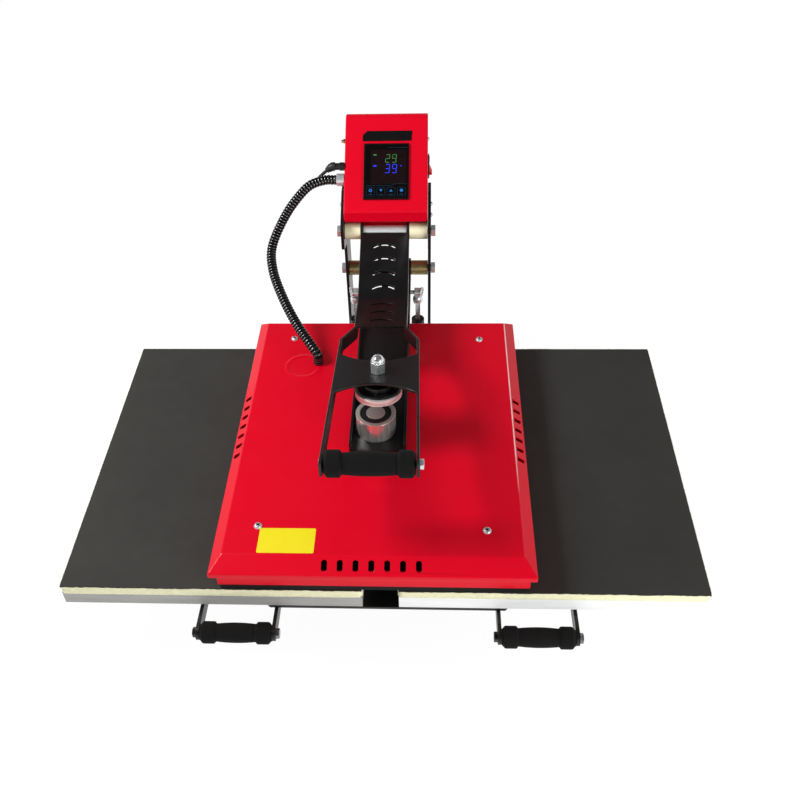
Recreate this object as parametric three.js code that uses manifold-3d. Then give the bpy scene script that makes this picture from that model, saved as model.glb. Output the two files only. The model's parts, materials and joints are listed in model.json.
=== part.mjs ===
// A flat heat press with an electromagnetic latch and a twin sliding table.
// Units are millimetres, +Z is up, the operator stands on the -Y side.
// While the press is built, Y is measured from the front edge of the tables and Z from the bench.
// At the end the whole press is moved along Y, so that its origin is under the middle of its footprint.
import * as THREE from "three";
import { mergeVertices } from "three/addons/utils/BufferGeometryUtils.js";
import Module from "manifold-3d";

const wasm = await Module();
wasm.setup();

// Clearances
const SEAT = 0.3;
const RUNNING = 0.5;
const OVERRUN = 5;

// Sliding tables
const TABLE_WIDTH = 401;
const TABLE_DEPTH = 500;
const TABLE_GAP = 48;
const TABLE_THICKNESS = 22;
const SPONGE_THICKNESS = 10;
const SPONGE_INSET = 1;
const PAD_THICKNESS = 3;
const PAD_TOP = 140;
const CARRIAGE_WIDTH = 329;
const CARRIAGE_DEPTH = 490;
const CARRIAGE_THICKNESS = 5;
const CARRIAGE_CHAMFER = 8;
const CARRIAGE_SHIFT = 8;

// Rails of the tables and the runners that hold them
const RAIL_LENGTH = 760;
const RAIL_WIDTH = 20;
const RAIL_HEIGHT = 16;
const RAIL_FRONT_Y = 110;
const RAIL_REAR_Y = 400;
const RUNNER_LENGTH = 300;
const RUNNER_WIDTH = 44;
const RUNNER_LIP = 5;

// Handles under the front of the tables
const HANDLE_SPACING = 396;
const HANDLE_Y = -34;
const HANDLE_Z = 90;
const HANDLE_GRIP_LENGTH = 95;
const HANDLE_GRIP_RADIUS = 13;
const HANDLE_COLLAR_RADIUS = 14;
const HANDLE_COLLAR_LENGTH = 20;
const HANDLE_ROD_RADIUS = 5;
const HANDLE_BOLT_RADIUS = 7;
const HANDLE_BOLT_LENGTH = 5;
const HANDLE_ARM_THICKNESS = 5;
const HANDLE_ARM_HEIGHT = 20;
const HANDLE_BAR_FRONT_Y = 18;
const HANDLE_BAR_DEPTH = 30;
const HANDLE_BAR_THICKNESS = 6;

// Base frame
const HEAD_X = -9;
const FRAME_X = -7.1;
const BASE_FRONT_Y = 95;
const BASE_REAR_Y = 655;
const BASE_TUBE_WIDTH = 30;
const BASE_TUBE_HEIGHT = 50;
const BASE_TOP = 68;
const BASE_TRACK = 230;
const CROSS_FRONT_DEPTH = 40;
const CROSS_REAR_DEPTH = 67;
const FOOT_RADIUS = 18;
const FOOT_SETBACK = 30;

// Uprights and the two shafts that they carry
const UPRIGHT_SPAN = 133.4;
const UPRIGHT_THICKNESS = 5;
const UPRIGHT_FLANGE = 35;
const UPRIGHT_REAR_Y = 650;
const UPRIGHT_WAIST_Y = 588;
const UPRIGHT_NOSE_Y = 546;
const UPRIGHT_NOSE_BOTTOM_Z = 307;
const UPRIGHT_NOSE_TOP_Z = 347;
const UPRIGHT_WAIST_TOP_Z = 291;
const UPRIGHT_TOP_Y = 600;
const UPRIGHT_TOP_Z = 382;
const UPRIGHT_TOP_LENGTH = 26;
const UPRIGHT_SHOULDER_Z = 345;
const TOP_SHAFT_Y = 570;
const TOP_SHAFT_Z = 327;
const TOP_SHAFT_RADIUS = 6;
const TOP_BUSH_RADIUS = 13.5;
const LOWER_SHAFT_Y = 605;
const LOWER_SHAFT_Z = 232.5;
const LOWER_SHAFT_RADIUS = 6;
const LOWER_BUSH_RADIUS = 12.4;
const SHAFT_HEAD_LENGTH = 7;
const SHAFT_HEAD_SHARE = 1.7;

// Head: the arm, the cover, the platen and the electromagnet
const PLATEN_WIDTH = 400;
const PLATEN_DEPTH = 500;
const PLATEN_THICKNESS = 20;
const PLATEN_CLEARANCE = 0.6;
const INSULATION_THICKNESS = 12;
const INSULATION_INSET = 12;
const COVER_WALL = 2;
const SKIRT_HEIGHT = 20;
const SKIRT_OUTSET = 2.3;
const SKIRT_LAP = 10;
const LIP_WIDTH = 417;
const LIP_FRONT_REACH = 265.5;
const LIP_REAR_REACH = 254;
const LIP_HEIGHT = 8;
const FRONT_BEVEL_RUN = 24.5;
const SIDE_BEVEL_RUN = 16;
const REAR_BEVEL_RUN = 13.5;
const BEVEL_HEIGHT = 12;
const VENT_COUNT = 7;
const VENT_PITCH = 20;
const VENT_WIDTH = 7.5;
const VENT_LENGTH = 15;
const SIDE_VENT_LENGTH = 12;
const RIGHT_VENT_SHIFT = 5;
const ARM_WIDTH = 80;
const ARM_PLATE = 3.5;
const ARM_FLOOR = 5;
const ARM_FRONT_Y = 190;
const ARM_FLOOR_REAR_Y = 497;
const ARM_SIDE_HEIGHT = 14;
const ARM_RISE_Y = 440;
const ARM_RELIEF_Y = 350;
const ARM_RELIEF_RAMP = 8;
const ARM_RELIEF = 5.5;
const ARM_LUG_RADIUS = 16;
const ARM_HUB_RADIUS = 12;
const MAGNET_X = HEAD_X - 3.5;
const MAGNET_Y = 235;
const MAGNET_RADIUS = 28.5;
const MAGNET_HEIGHT = 32;
const MAGNET_WALL = 6;
const MAGNET_CORE_RADIUS = 13.5;
const MAGNET_COIL_DEPTH = 20;

// Lever: rear channel, fork, cross plate, armature and grip
const LEVER_WIDTH = 77.6;
const LEVER_PLATE = 4;
const LEVER_SIDE_HEIGHT = 23;
const LEVER_LUG_RADIUS = 14;
const LEVER_WEB_REAR_Y = 559.5;
const LEVER_WEB_REAR_Z = 330.4;
const LEVER_BEND_Y = 445;
const LEVER_BEND_Z = 285;
const LEVER_WEB_FRONT_Y = 360;
const FORK_REAR_Y = 326;
const FORK_REAR_WIDTH = 115;
const FORK_FRONT_Y = 42;
const FORK_FRONT_WIDTH = 123;
const FORK_ANGLE = THREE.MathUtils.degToRad(6.65);
const SLOT_WIDTH = 4.2;
const SLOT_CHORD = 34;
const SLOT_RISE = 4.8;
const SLOT_PITCH = 24;
const REAR_SLOT_COUNT = 4;
const FRONT_SLOT_COUNT = 3;
const REAR_SLOT_OFFSET = 16.8;
const FRONT_SLOT_OFFSET = 21.6;
const CROSS_PLATE_Y = 240.3;
const CROSS_PLATE_SIDE = 96;
const CROSS_PLATE_WAIST = 55;
const ARMATURE_X = HEAD_X + 2;
const ARMATURE_Y = 239;
const STUD_Y = 246;
const ARMATURE_RADIUS = 32.5;
const ARMATURE_HEIGHT = 9;
const ARMATURE_CAP_RADIUS = 29;
const ARMATURE_CAP_HEIGHT = 3;
const ARMATURE_BOSS_RADIUS = 20;
const STUD_RADIUS = 6;
const NUT_RADIUS = 11;
const NUT_HEIGHT = 17;
const NUT_DOME_RADIUS = 9;
const LEVER_GRIP_Y = 56;
const LEVER_GRIP_DROP = 12;
const LEVER_GRIP_RADIUS = 15.5;
const LEVER_COLLAR_RADIUS = 17.5;
const LEVER_COLLAR_LENGTH = 21;
const LEVER_ROD_RADIUS = 5;
const LEVER_BOLT_RADIUS = 7;
const LEVER_BOLT_RISE = 5;
const LEVER_NUT_RISE = 1;

// Crank on the top shaft and the link down to the arm
const SLEEVE_RADIUS = 9;
const CRANK_PIN_Y = 510;
const CRANK_PIN_Z = 288;
const CRANK_CHEEK = 5;
const CRANK_RADIUS = 7;
const CRANK_HUB_RADIUS = 8.5;
const CRANK_NECK = 9;
const CRANK_NECK_BACK = 2.8;
const CRANK_NECK_DROP = 5.6;
const LINK_PIN_Y = 521;
const LINK_PIN_Z = 202;
const LINK_THICKNESS = 10;
const LINK_EYE_RADIUS = 8;
const LINK_NECK_SHARE = 0.7;
const LINK_PIN_RADIUS = 4;
const LINK_SLOT = 2.1;

// Gas springs
const SPRING_SPACING = 104;
const SPRING_Y = 545;
const SPRING_FOOT_Z = 84;
const SPRING_EYE_Z = 224;
const SPRING_RADIUS = 10.8;
const SPRING_TOP_Z = 170;
const SPRING_NECK = 3;
const SPRING_ROD_RADIUS = 4;
const SPRING_ROD_INSET = 56;
const SPRING_EYE_RADIUS = 7.5;
const SPRING_EYE_WIDTH = 11;
const SPRING_PIN_RADIUS = 3.5;

// Control box
const BOX_WALL = 1.5;
const BOX_FRONT_Y = 558;
const BOX_BOTTOM_Z = 350;
const BOX_LIP = 19;
const PANEL_LENGTH = 162;
const PANEL_ANGLE = THREE.MathUtils.degToRad(35);
const BOX_FOLD_RADIUS = 14;
const BOX_FOLD_STEPS = 5;
const BOX_APRON_Y = 587;
const BOX_APRON_Z = 322;
const REAR_COVER_WALL = 2;
const DISPLAY_WIDTH = 72;
const DISPLAY_HEIGHT = 96;
const DISPLAY_UP = 68;
const DISPLAY_SHIFT = 2.5;
const DISPLAY_FRAME = 3;
const DISPLAY_BODY_DEPTH = 30;
const DISPLAY_BODY_INSET = 4;
const GLASS_THICKNESS = 1.2;
const ROCKER_Y = 650;
const ROCKER_Z = 398;
const ROCKER_BEZEL_LENGTH = 32;
const ROCKER_BEZEL_WIDTH = 24;
const ROCKER_BEZEL_RISE = 2;
const ROCKER_BEZEL_RIM = 2;
const ROCKER_BODY_DEPTH = 18;
const ROCKER_LENGTH = 25;
const ROCKER_WIDTH = 17;
const ROCKER_END_RISE = 5;
const ROCKER_DIP = 2;
const ROCKER_ROOT = 6;
const ROCKER_PIVOT_DEPTH = 2;
const ROCKER_PIN_RADIUS = 1.5;
const ROCKER_TILT = 9;
const HOSE_GLAND_Y = 611;
const HOSE_GLAND_Z = 396;
const HOSE_GLAND_RADIUS = 10.5;
const HOSE_GLAND_LENGTH = 12;
const LEAD_GLAND_Y = 625;
const LEAD_GLAND_Z = 412;
const LEAD_GLAND_RADIUS = 7.5;
const LEAD_GLAND_LENGTH = 15;
const LEAD_CAP_SHARE = 0.75;
const INLET_X = 32;
const INLET_Z = 385;
const INLET_WIDTH = 48;
const INLET_HEIGHT = 28;
const INLET_DEPTH = 24;
const INLET_RIM = 3;
const INLET_FLANGE = 4;
const INLET_SOCKET_DEPTH = 16;
const RELAY_X = 30;
const RELAY_WIDTH = 58;
const RELAY_HEIGHT = 45;
const RELAY_DEPTH = 24;

// Hose and magnet lead
const HOSE_RADIUS = 8;
const HOSE_VALLEY = 1.4;
const HOSE_BORE_RADIUS = 5.2;
const HOSE_PITCH = 3.2;
const HOSE_SIDES = 8;
const HOSE_BORE_STEP = 5;
const HOSE_MOST_RIBS = 200;
const LEAD_RADIUS = 2.7;
const LEAD_SIDES = 8;
const LEAD_STEP_SHARE = 2.5;
const HOSE_END = new THREE.Vector2(-110, 388);
const LEAD_END = new THREE.Vector2(-112, 408);

// Levels that follow from the stack of layers, from the bench upwards
const padZ = PAD_TOP - PAD_THICKNESS;
const spongeZ = padZ - SEAT - SPONGE_THICKNESS;
const tableZ = spongeZ - SEAT - TABLE_THICKNESS;
const carriageZ = tableZ - SEAT - CARRIAGE_THICKNESS;
const railZ = carriageZ - SEAT - RAIL_HEIGHT;
const platenZ = PAD_TOP + PLATEN_CLEARANCE;
const skirtZ = platenZ + PLATEN_THICKNESS + SEAT;
const lipZ = skirtZ + SKIRT_HEIGHT;
const bevelZ = lipZ + LIP_HEIGHT;
const coverTop = bevelZ + BEVEL_HEIGHT;
const armZ = coverTop + SEAT;
const magnetZ = armZ + ARM_FLOOR + SEAT;
const magnetTop = magnetZ + MAGNET_HEIGHT;
const headY = TABLE_DEPTH / 2;
const sideInner = UPRIGHT_SPAN / 2;
const sideOuter = sideInner + UPRIGHT_THICKNESS;
const boxHalf = sideInner - SEAT;
const panelY = BOX_FRONT_Y;
const panelZ = BOX_BOTTOM_Z + BOX_LIP;
const foldY = panelY + PANEL_LENGTH * Math.cos(PANEL_ANGLE) + BOX_FOLD_RADIUS * Math.sin(PANEL_ANGLE);
const foldZ = panelZ + PANEL_LENGTH * Math.sin(PANEL_ANGLE) - BOX_FOLD_RADIUS * Math.cos(PANEL_ANGLE);
const boxRear = foldY + BOX_FOLD_RADIUS;

// Materials
function finish(color, roughness, metalness) {
  return new THREE.MeshStandardMaterial({ color, roughness, metalness });
}

const redPaint = finish(0xd40a20, 0.3, 0.1);
const blackPaint = finish(0x17171a, 0.45, 0.2);
const aluminium = finish(0xb9bbbd, 0.4, 0.9);
const steel = finish(0x9c9b98, 0.3, 0.95);
const zinc = finish(0xc9ccce, 0.35, 0.9);
const bronze = finish(0x8c7a45, 0.4, 0.8);
const nylon = finish(0xf1e9c3, 0.5, 0);
const silicone = finish(0x3a3835, 0.85, 0);
const sponge = finish(0xf4eec8, 0.9, 0);
const rubber = finish(0x151515, 0.9, 0);
const plastic = finish(0x111214, 0.5, 0);
const glass = finish(0x050507, 0.08, 0);
const ceramic = finish(0xd8d4c8, 0.95, 0);
const redPlastic = finish(0xd01010, 0.35, 0);

// A closed geometry as a solid that can be cut and joined
function solid(geometry) {
  const bare = geometry.index ? geometry.toNonIndexed() : geometry.clone();
  bare.deleteAttribute("normal");
  bare.deleteAttribute("uv");
  const merged = mergeVertices(bare, 1e-4);
  return new wasm.Manifold(
    new wasm.Mesh({
      numProp: 3,
      vertProperties: new Float32Array(merged.attributes.position.array),
      triVerts: new Uint32Array(merged.index.array),
    }),
  );
}

// A solid back as a geometry
function shell(body) {
  const mesh = body.getMesh();
  const points = new Float32Array(mesh.numVert * 3);
  for (let i = 0; i < mesh.numVert; i++) {
    points.set(mesh.vertProperties.subarray(i * mesh.numProp, i * mesh.numProp + 3), i * 3);
  }
  const geometry = new THREE.BufferGeometry();
  geometry.setAttribute("position", new THREE.BufferAttribute(points, 3));
  geometry.setIndex(new THREE.BufferAttribute(new Uint32Array(mesh.triVerts), 1));
  geometry.computeVertexNormals();
  return geometry;
}

function joined(first, ...others) {
  return others.reduce((body, other) => body.add(other), first);
}

function cut(first, ...others) {
  return others.reduce((body, other) => body.subtract(other), first);
}

// A block between two corners
function block(x0, x1, y0, y1, z0, z1) {
  const geometry = new THREE.BoxGeometry(x1 - x0, y1 - y0, z1 - z0);
  geometry.translate((x0 + x1) / 2, (y0 + y1) / 2, (z0 + z1) / 2);
  return solid(geometry);
}

// A round bar from x0 to x1 along X
function barX(radius, x0, x1, y, z, sides = 24) {
  const geometry = new THREE.CylinderGeometry(radius, radius, x1 - x0, sides);
  geometry.rotateZ(Math.PI / 2);
  geometry.translate((x0 + x1) / 2, y, z);
  return solid(geometry);
}

// A round bar from z0 to z1 along Z
function barZ(radius, x, y, z0, z1, sides = 24) {
  const geometry = new THREE.CylinderGeometry(radius, radius, z1 - z0, sides);
  geometry.rotateX(Math.PI / 2);
  geometry.translate(x, y, (z0 + z1) / 2);
  return solid(geometry);
}

// An outline in Y and Z, drawn from x0 to x1
function profileX(points, x0, x1) {
  const shape = new THREE.Shape(points.map(([y, z]) => new THREE.Vector2(y, z)));
  const geometry = new THREE.ExtrudeGeometry(shape, { depth: x1 - x0, bevelEnabled: false });
  const turn = new THREE.Matrix4().set(0, 0, 1, x0, 1, 0, 0, 0, 0, 1, 0, 0, 0, 0, 0, 1);
  geometry.applyMatrix4(turn);
  return solid(geometry);
}

// An outline in X and Y, drawn from z0 to z1
function profileZ(points, z0, z1) {
  const shape = new THREE.Shape(points.map(([x, y]) => new THREE.Vector2(x, y)));
  const geometry = new THREE.ExtrudeGeometry(shape, { depth: z1 - z0, bevelEnabled: false });
  geometry.translate(0, 0, z0);
  return solid(geometry);
}

// A closed body through a row of four-cornered sections, given in the same order
function loft(sections) {
  const positions = sections.flat(2);
  const last = (sections.length - 1) * 4;
  const faces = [0, 2, 1, 0, 3, 2, last, last + 1, last + 2, last, last + 2, last + 3];
  for (let s = 0; s < last; s += 4) {
    for (let k = 0; k < 4; k++) {
      const next = (k + 1) % 4;
      faces.push(s + k, s + next, s + 4 + next, s + k, s + 4 + next, s + 4 + k);
    }
  }
  const geometry = new THREE.BufferGeometry();
  geometry.setAttribute("position", new THREE.Float32BufferAttribute(positions, 3));
  geometry.setIndex(faces);
  const body = solid(geometry);
  if (body.volume() > 0) {
    return body;
  }
  geometry.setIndex(faces.reverse());
  return solid(geometry);
}

// A rectangle at one height, as a loft section
function level(x, y, width, depth, z) {
  return [
    [x - width / 2, y - depth / 2, z],
    [x + width / 2, y - depth / 2, z],
    [x + width / 2, y + depth / 2, z],
    [x - width / 2, y + depth / 2, z],
  ];
}

const press = new THREE.Group();

function add(name, body, material) {
  const mesh = new THREE.Mesh(body instanceof THREE.BufferGeometry ? body : shell(body), material);
  mesh.name = name;
  press.add(mesh);
}

const sides = [
  ["left", -1],
  ["right", 1],
];

// Base: two long tubes, two cross tubes and four rubber feet
function addBase() {
  const bottom = BASE_TOP - BASE_TUBE_HEIGHT;
  const inner = BASE_TRACK / 2 - BASE_TUBE_WIDTH / 2 - SEAT;
  for (const [side, sign] of sides) {
    const x = HEAD_X + (sign * BASE_TRACK) / 2;
    const half = BASE_TUBE_WIDTH / 2;
    add(`base_rail_${side}`, block(x - half, x + half, BASE_FRONT_Y, BASE_REAR_Y, bottom, BASE_TOP), blackPaint);
    const feet = [
      ["front", BASE_FRONT_Y + FOOT_SETBACK],
      ["rear", BASE_REAR_Y - FOOT_SETBACK],
    ];
    for (const [end, y] of feet) {
      add(`foot_${end}_${side}`, barZ(FOOT_RADIUS, x, y, 0, bottom - SEAT), rubber);
    }
  }
  const left = HEAD_X - inner;
  const right = HEAD_X + inner;
  const frontRear = BASE_FRONT_Y + CROSS_FRONT_DEPTH;
  add("base_cross_front", block(left, right, BASE_FRONT_Y, frontRear, bottom, BASE_TOP), blackPaint);
  const rearFront = BASE_REAR_Y - CROSS_REAR_DEPTH;
  add("base_cross_rear", block(left, right, rearFront, BASE_REAR_Y, bottom, BASE_TOP), blackPaint);
}

// Fixed runners across the base, each with a groove for a rail of the tables
function addRunners() {
  const floor = railZ - RUNNING;
  const top = carriageZ - SEAT - RUNNER_LIP;
  const places = [
    ["front", RAIL_FRONT_Y],
    ["rear", RAIL_REAR_Y],
  ];
  for (const [name, y] of places) {
    const half = RUNNER_LENGTH / 2;
    const body = block(HEAD_X - half, HEAD_X + half, y - RUNNER_WIDTH / 2, y + RUNNER_WIDTH / 2, BASE_TOP + SEAT, top);
    const slot = RAIL_WIDTH / 2 + RUNNING;
    const groove = block(HEAD_X - half - OVERRUN, HEAD_X + half + OVERRUN, y - slot, y + slot, floor, top + OVERRUN);
    add(`rail_runner_${name}`, cut(body, groove), steel);
    const rail = RAIL_LENGTH / 2;
    add(
      `table_rail_${name}`,
      block(-rail, rail, y - RAIL_WIDTH / 2, y + RAIL_WIDTH / 2, railZ, railZ + RAIL_HEIGHT),
      steel,
    );
  }
}

// Two side plates with a foot flange and a stud for the gas spring
function addUprights() {
  const springX = SPRING_SPACING / 2;
  const foot = BASE_TOP + SEAT;
  const ear = SPRING_EYE_RADIUS * 2;
  const outline = [
    [UPRIGHT_REAR_Y, foot],
    [UPRIGHT_REAR_Y, UPRIGHT_SHOULDER_Z],
    [UPRIGHT_TOP_Y + UPRIGHT_TOP_LENGTH, UPRIGHT_TOP_Z],
    [UPRIGHT_TOP_Y, UPRIGHT_TOP_Z],
    [UPRIGHT_NOSE_Y, UPRIGHT_NOSE_TOP_Z],
    [UPRIGHT_NOSE_Y, UPRIGHT_NOSE_BOTTOM_Z],
    [UPRIGHT_WAIST_Y, UPRIGHT_WAIST_TOP_Z],
    [UPRIGHT_WAIST_Y, SPRING_FOOT_Z + ear * 2],
    [SPRING_Y - ear, SPRING_FOOT_Z + ear],
    [SPRING_Y - ear, foot],
  ];
  for (const [side, sign] of sides) {
    const a = FRAME_X + sign * sideInner;
    const b = FRAME_X + sign * sideOuter;
    const plate = profileX(outline, Math.min(a, b), Math.max(a, b));
    const c = FRAME_X + sign * (sideOuter + UPRIGHT_FLANGE);
    const flangeFront = BASE_REAR_Y - CROSS_REAR_DEPTH;
    const flange = block(
      Math.min(a, c),
      Math.max(a, c),
      flangeFront,
      UPRIGHT_REAR_Y,
      foot,
      foot + UPRIGHT_THICKNESS,
    );
    const d = HEAD_X + sign * (springX - SPRING_EYE_WIDTH / 2);
    const stud = barX(SPRING_PIN_RADIUS, Math.min(b, d), Math.max(b, d), SPRING_Y, SPRING_FOOT_Z, 16);
    const x0 = Math.min(a, b) - OVERRUN;
    const x1 = Math.max(a, b) + OVERRUN;
    const upperHole = barX(TOP_SHAFT_RADIUS + SEAT, x0, x1, TOP_SHAFT_Y, TOP_SHAFT_Z);
    const lowerHole = barX(LOWER_SHAFT_RADIUS + SEAT, x0, x1, LOWER_SHAFT_Y, LOWER_SHAFT_Z);
    add(`upright_${side}`, cut(joined(plate, flange, stud), upperHole, lowerHole), blackPaint);
  }
}

// A shaft with a hexagon head at one end and a nut at the other, and a bush on each side
function addShaft(name, radius, bushRadius, bushInner, y, z, bushMaterial) {
  const bolt = radius * SHAFT_HEAD_SHARE;
  const start = FRAME_X - sideOuter - SEAT;
  const end = FRAME_X + sideOuter + SEAT;
  const bar = barX(radius, start - SHAFT_HEAD_LENGTH, end + SHAFT_HEAD_LENGTH, y, z);
  const head = barX(bolt, start - SHAFT_HEAD_LENGTH, start, y, z, 6);
  const nut = barX(bolt, end, end + SHAFT_HEAD_LENGTH, y, z, 6);
  add(`${name}_shaft`, joined(bar, head, nut), zinc);
  for (const [side, sign] of sides) {
    const a = HEAD_X + sign * (bushInner + SEAT);
    const b = FRAME_X + sign * (sideInner - SEAT);
    const x0 = Math.min(a, b);
    const x1 = Math.max(a, b);
    const bush = barX(bushRadius, x0, x1, y, z, 32);
    const bore = barX(radius + SEAT, x0 - OVERRUN, x1 + OVERRUN, y, z);
    add(`${name}_bush_${side}`, cut(bush, bore), bushMaterial);
  }
}

// Each table is an aluminium plate, a sponge layer and a silicone pad
function addTables() {
  for (const [side, sign] of sides) {
    const a = (sign * TABLE_GAP) / 2;
    const b = sign * (TABLE_GAP / 2 + TABLE_WIDTH);
    const x0 = Math.min(a, b);
    const x1 = Math.max(a, b);
    add(`table_plate_${side}`, block(x0, x1, 0, TABLE_DEPTH, tableZ, tableZ + TABLE_THICKNESS), aluminium);
    add(
      `table_sponge_${side}`,
      block(
        x0 + SPONGE_INSET,
        x1 - SPONGE_INSET,
        SPONGE_INSET,
        TABLE_DEPTH - SPONGE_INSET,
        spongeZ,
        spongeZ + SPONGE_THICKNESS,
      ),
      sponge,
    );
    add(`table_pad_${side}`, block(x0, x1, 0, TABLE_DEPTH, padZ, PAD_TOP), silicone);
  }
  const left = CARRIAGE_SHIFT - CARRIAGE_WIDTH / 2;
  const right = CARRIAGE_SHIFT + CARRIAGE_WIDTH / 2;
  const rear = CARRIAGE_DEPTH;
  const outline = [
    [left + CARRIAGE_CHAMFER, 0],
    [right - CARRIAGE_CHAMFER, 0],
    [right, CARRIAGE_CHAMFER],
    [right, rear],
    [left, rear],
    [left, CARRIAGE_CHAMFER],
  ];
  add("carriage_plate", profileZ(outline, carriageZ, carriageZ + CARRIAGE_THICKNESS), blackPaint);
}

// A foam grip with thicker end collars on a bored core, along X
function gripBody(x, y, z, length, radius, collarRadius, collarLength, rodRadius) {
  const half = length / 2;
  const core = barX(radius, x - half, x + half, y, z, 32);
  const leftCollar = barX(collarRadius, x - half, x - half + collarLength, y, z, 32);
  const rightCollar = barX(collarRadius, x + half - collarLength, x + half, y, z, 32);
  const bore = barX(rodRadius + SEAT, x - half - OVERRUN, x + half + OVERRUN, y, z);
  return cut(joined(core, leftCollar, rightCollar), bore);
}

// The two table handles: a bar under the carriage, two arms, a rod and a foam grip
function addHandles() {
  const barTop = carriageZ - SEAT;
  const barZ0 = barTop - HANDLE_BAR_THICKNESS;
  for (const [side, sign] of sides) {
    const x = CARRIAGE_SHIFT + (sign * HANDLE_SPACING) / 2;
    const half = HANDLE_GRIP_LENGTH / 2 + SEAT;
    const outer = half + HANDLE_ARM_THICKNESS;
    const barRear = HANDLE_BAR_FRONT_Y + HANDLE_BAR_DEPTH;
    const bar = block(x - outer, x + outer, HANDLE_BAR_FRONT_Y, barRear, barZ0, barTop);
    const edge = CARRIAGE_SHIFT + sign * (CARRIAGE_WIDTH / 2 + SEAT);
    const end = x + sign * outer;
    const packing = block(
      Math.min(edge, end),
      Math.max(edge, end),
      HANDLE_BAR_FRONT_Y,
      barRear,
      barZ0,
      tableZ - SEAT,
    );
    const parts = [bar, packing];
    for (const tip of [-1, 1]) {
      const xa = x + tip * half;
      const xb = x + tip * outer;
      const low = Math.min(xa, xb);
      const high = Math.max(xa, xb);
      const tall = HANDLE_ARM_HEIGHT;
      const arm = loft([
        [
          [low, barRear, barTop - tall],
          [high, barRear, barTop - tall],
          [high, barRear, barTop],
          [low, barRear, barTop],
        ],
        [
          [low, 0, barTop - tall],
          [high, 0, barTop - tall],
          [high, 0, barTop],
          [low, 0, barTop],
        ],
        [
          [low, HANDLE_Y, HANDLE_Z - tall / 2],
          [high, HANDLE_Y, HANDLE_Z - tall / 2],
          [high, HANDLE_Y, HANDLE_Z + tall / 2],
          [low, HANDLE_Y, HANDLE_Z + tall / 2],
        ],
      ]);
      const eye = barX(tall / 2, low, high, HANDLE_Y, HANDLE_Z);
      const boltEnd = xb + tip * HANDLE_BOLT_LENGTH;
      const bolt = barX(HANDLE_BOLT_RADIUS, Math.min(xb, boltEnd), Math.max(xb, boltEnd), HANDLE_Y, HANDLE_Z, 6);
      parts.push(arm, eye, bolt);
    }
    const rod = barX(HANDLE_ROD_RADIUS, x - outer, x + outer, HANDLE_Y, HANDLE_Z);
    add(`handle_bracket_${side}`, joined(rod, ...parts), blackPaint);
    add(
      `handle_grip_${side}`,
      gripBody(
        x,
        HANDLE_Y,
        HANDLE_Z,
        HANDLE_GRIP_LENGTH,
        HANDLE_GRIP_RADIUS,
        HANDLE_COLLAR_RADIUS,
        HANDLE_COLLAR_LENGTH,
        HANDLE_ROD_RADIUS,
      ),
      rubber,
    );
  }
}

// The outer shape of the cover, or its hollow when it is shrunk by the wall
function coverForm(shrink) {
  const wide = PLATEN_WIDTH + 2 * SKIRT_OUTSET - 2 * shrink;
  const deep = PLATEN_DEPTH + 2 * SKIRT_OUTSET - 2 * shrink;
  const lipWide = LIP_WIDTH - 2 * shrink;
  const lipDeep = LIP_FRONT_REACH + LIP_REAR_REACH - 2 * shrink;
  const lipY = headY + (LIP_REAR_REACH - LIP_FRONT_REACH) / 2;
  const crestWide = lipWide - 2 * SIDE_BEVEL_RUN;
  const crestDeep = lipDeep - FRONT_BEVEL_RUN - REAR_BEVEL_RUN;
  const crestY = lipY + (FRONT_BEVEL_RUN - REAR_BEVEL_RUN) / 2;
  const below = shrink > 0 ? OVERRUN : 0;
  const skirt = loft([
    level(HEAD_X, headY, wide, deep, skirtZ - SKIRT_LAP - below),
    level(HEAD_X, headY, wide, deep, lipZ + LIP_HEIGHT / 2),
  ]);
  const lip = loft([
    level(HEAD_X, lipY, lipWide, lipDeep, lipZ + shrink),
    level(HEAD_X, lipY, lipWide, lipDeep, bevelZ - shrink / 2),
    level(HEAD_X, crestY, crestWide, crestDeep, coverTop - shrink),
  ]);
  return joined(skirt, lip);
}

// The vents run down the slope of the front bevel and of both side bevels
function coverVents() {
  const frontSlope = Math.atan2(BEVEL_HEIGHT, FRONT_BEVEL_RUN);
  const sideSlope = Math.atan2(BEVEL_HEIGHT, SIDE_BEVEL_RUN);
  const middleZ = bevelZ + BEVEL_HEIGHT / 2;
  const vents = [];
  for (let i = 0; i < VENT_COUNT; i++) {
    const along = (i - (VENT_COUNT - 1) / 2) * VENT_PITCH;
    const front = new THREE.BoxGeometry(VENT_WIDTH, VENT_LENGTH, BEVEL_HEIGHT);
    front.rotateX(frontSlope);
    front.translate(HEAD_X + along, headY - LIP_FRONT_REACH + FRONT_BEVEL_RUN / 2, middleZ);
    vents.push(solid(front));
    for (const [, sign] of sides) {
      const side = new THREE.BoxGeometry(SIDE_VENT_LENGTH, VENT_WIDTH, BEVEL_HEIGHT);
      const y = headY + along - (sign > 0 ? RIGHT_VENT_SHIFT : 0);
      side.rotateY(sign * sideSlope);
      side.translate(HEAD_X + sign * (LIP_WIDTH / 2 - SIDE_BEVEL_RUN / 2), y, middleZ);
      vents.push(solid(side));
    }
  }
  return vents;
}

// Heating platen, insulation board and the painted cover over them
function addHeadBox() {
  add(
    "heating_platen",
    loft([
      level(HEAD_X, headY, PLATEN_WIDTH, PLATEN_DEPTH, platenZ),
      level(HEAD_X, headY, PLATEN_WIDTH, PLATEN_DEPTH, platenZ + PLATEN_THICKNESS),
    ]),
    aluminium,
  );
  const boardWidth = PLATEN_WIDTH - 2 * INSULATION_INSET;
  const boardDepth = PLATEN_DEPTH - 2 * INSULATION_INSET;
  add(
    "insulation_board",
    loft([
      level(HEAD_X, headY, boardWidth, boardDepth, skirtZ),
      level(HEAD_X, headY, boardWidth, boardDepth, skirtZ + INSULATION_THICKNESS),
    ]),
    ceramic,
  );
  add("head_cover", cut(coverForm(0), coverForm(COVER_WALL), ...coverVents()), redPaint);
}

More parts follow.
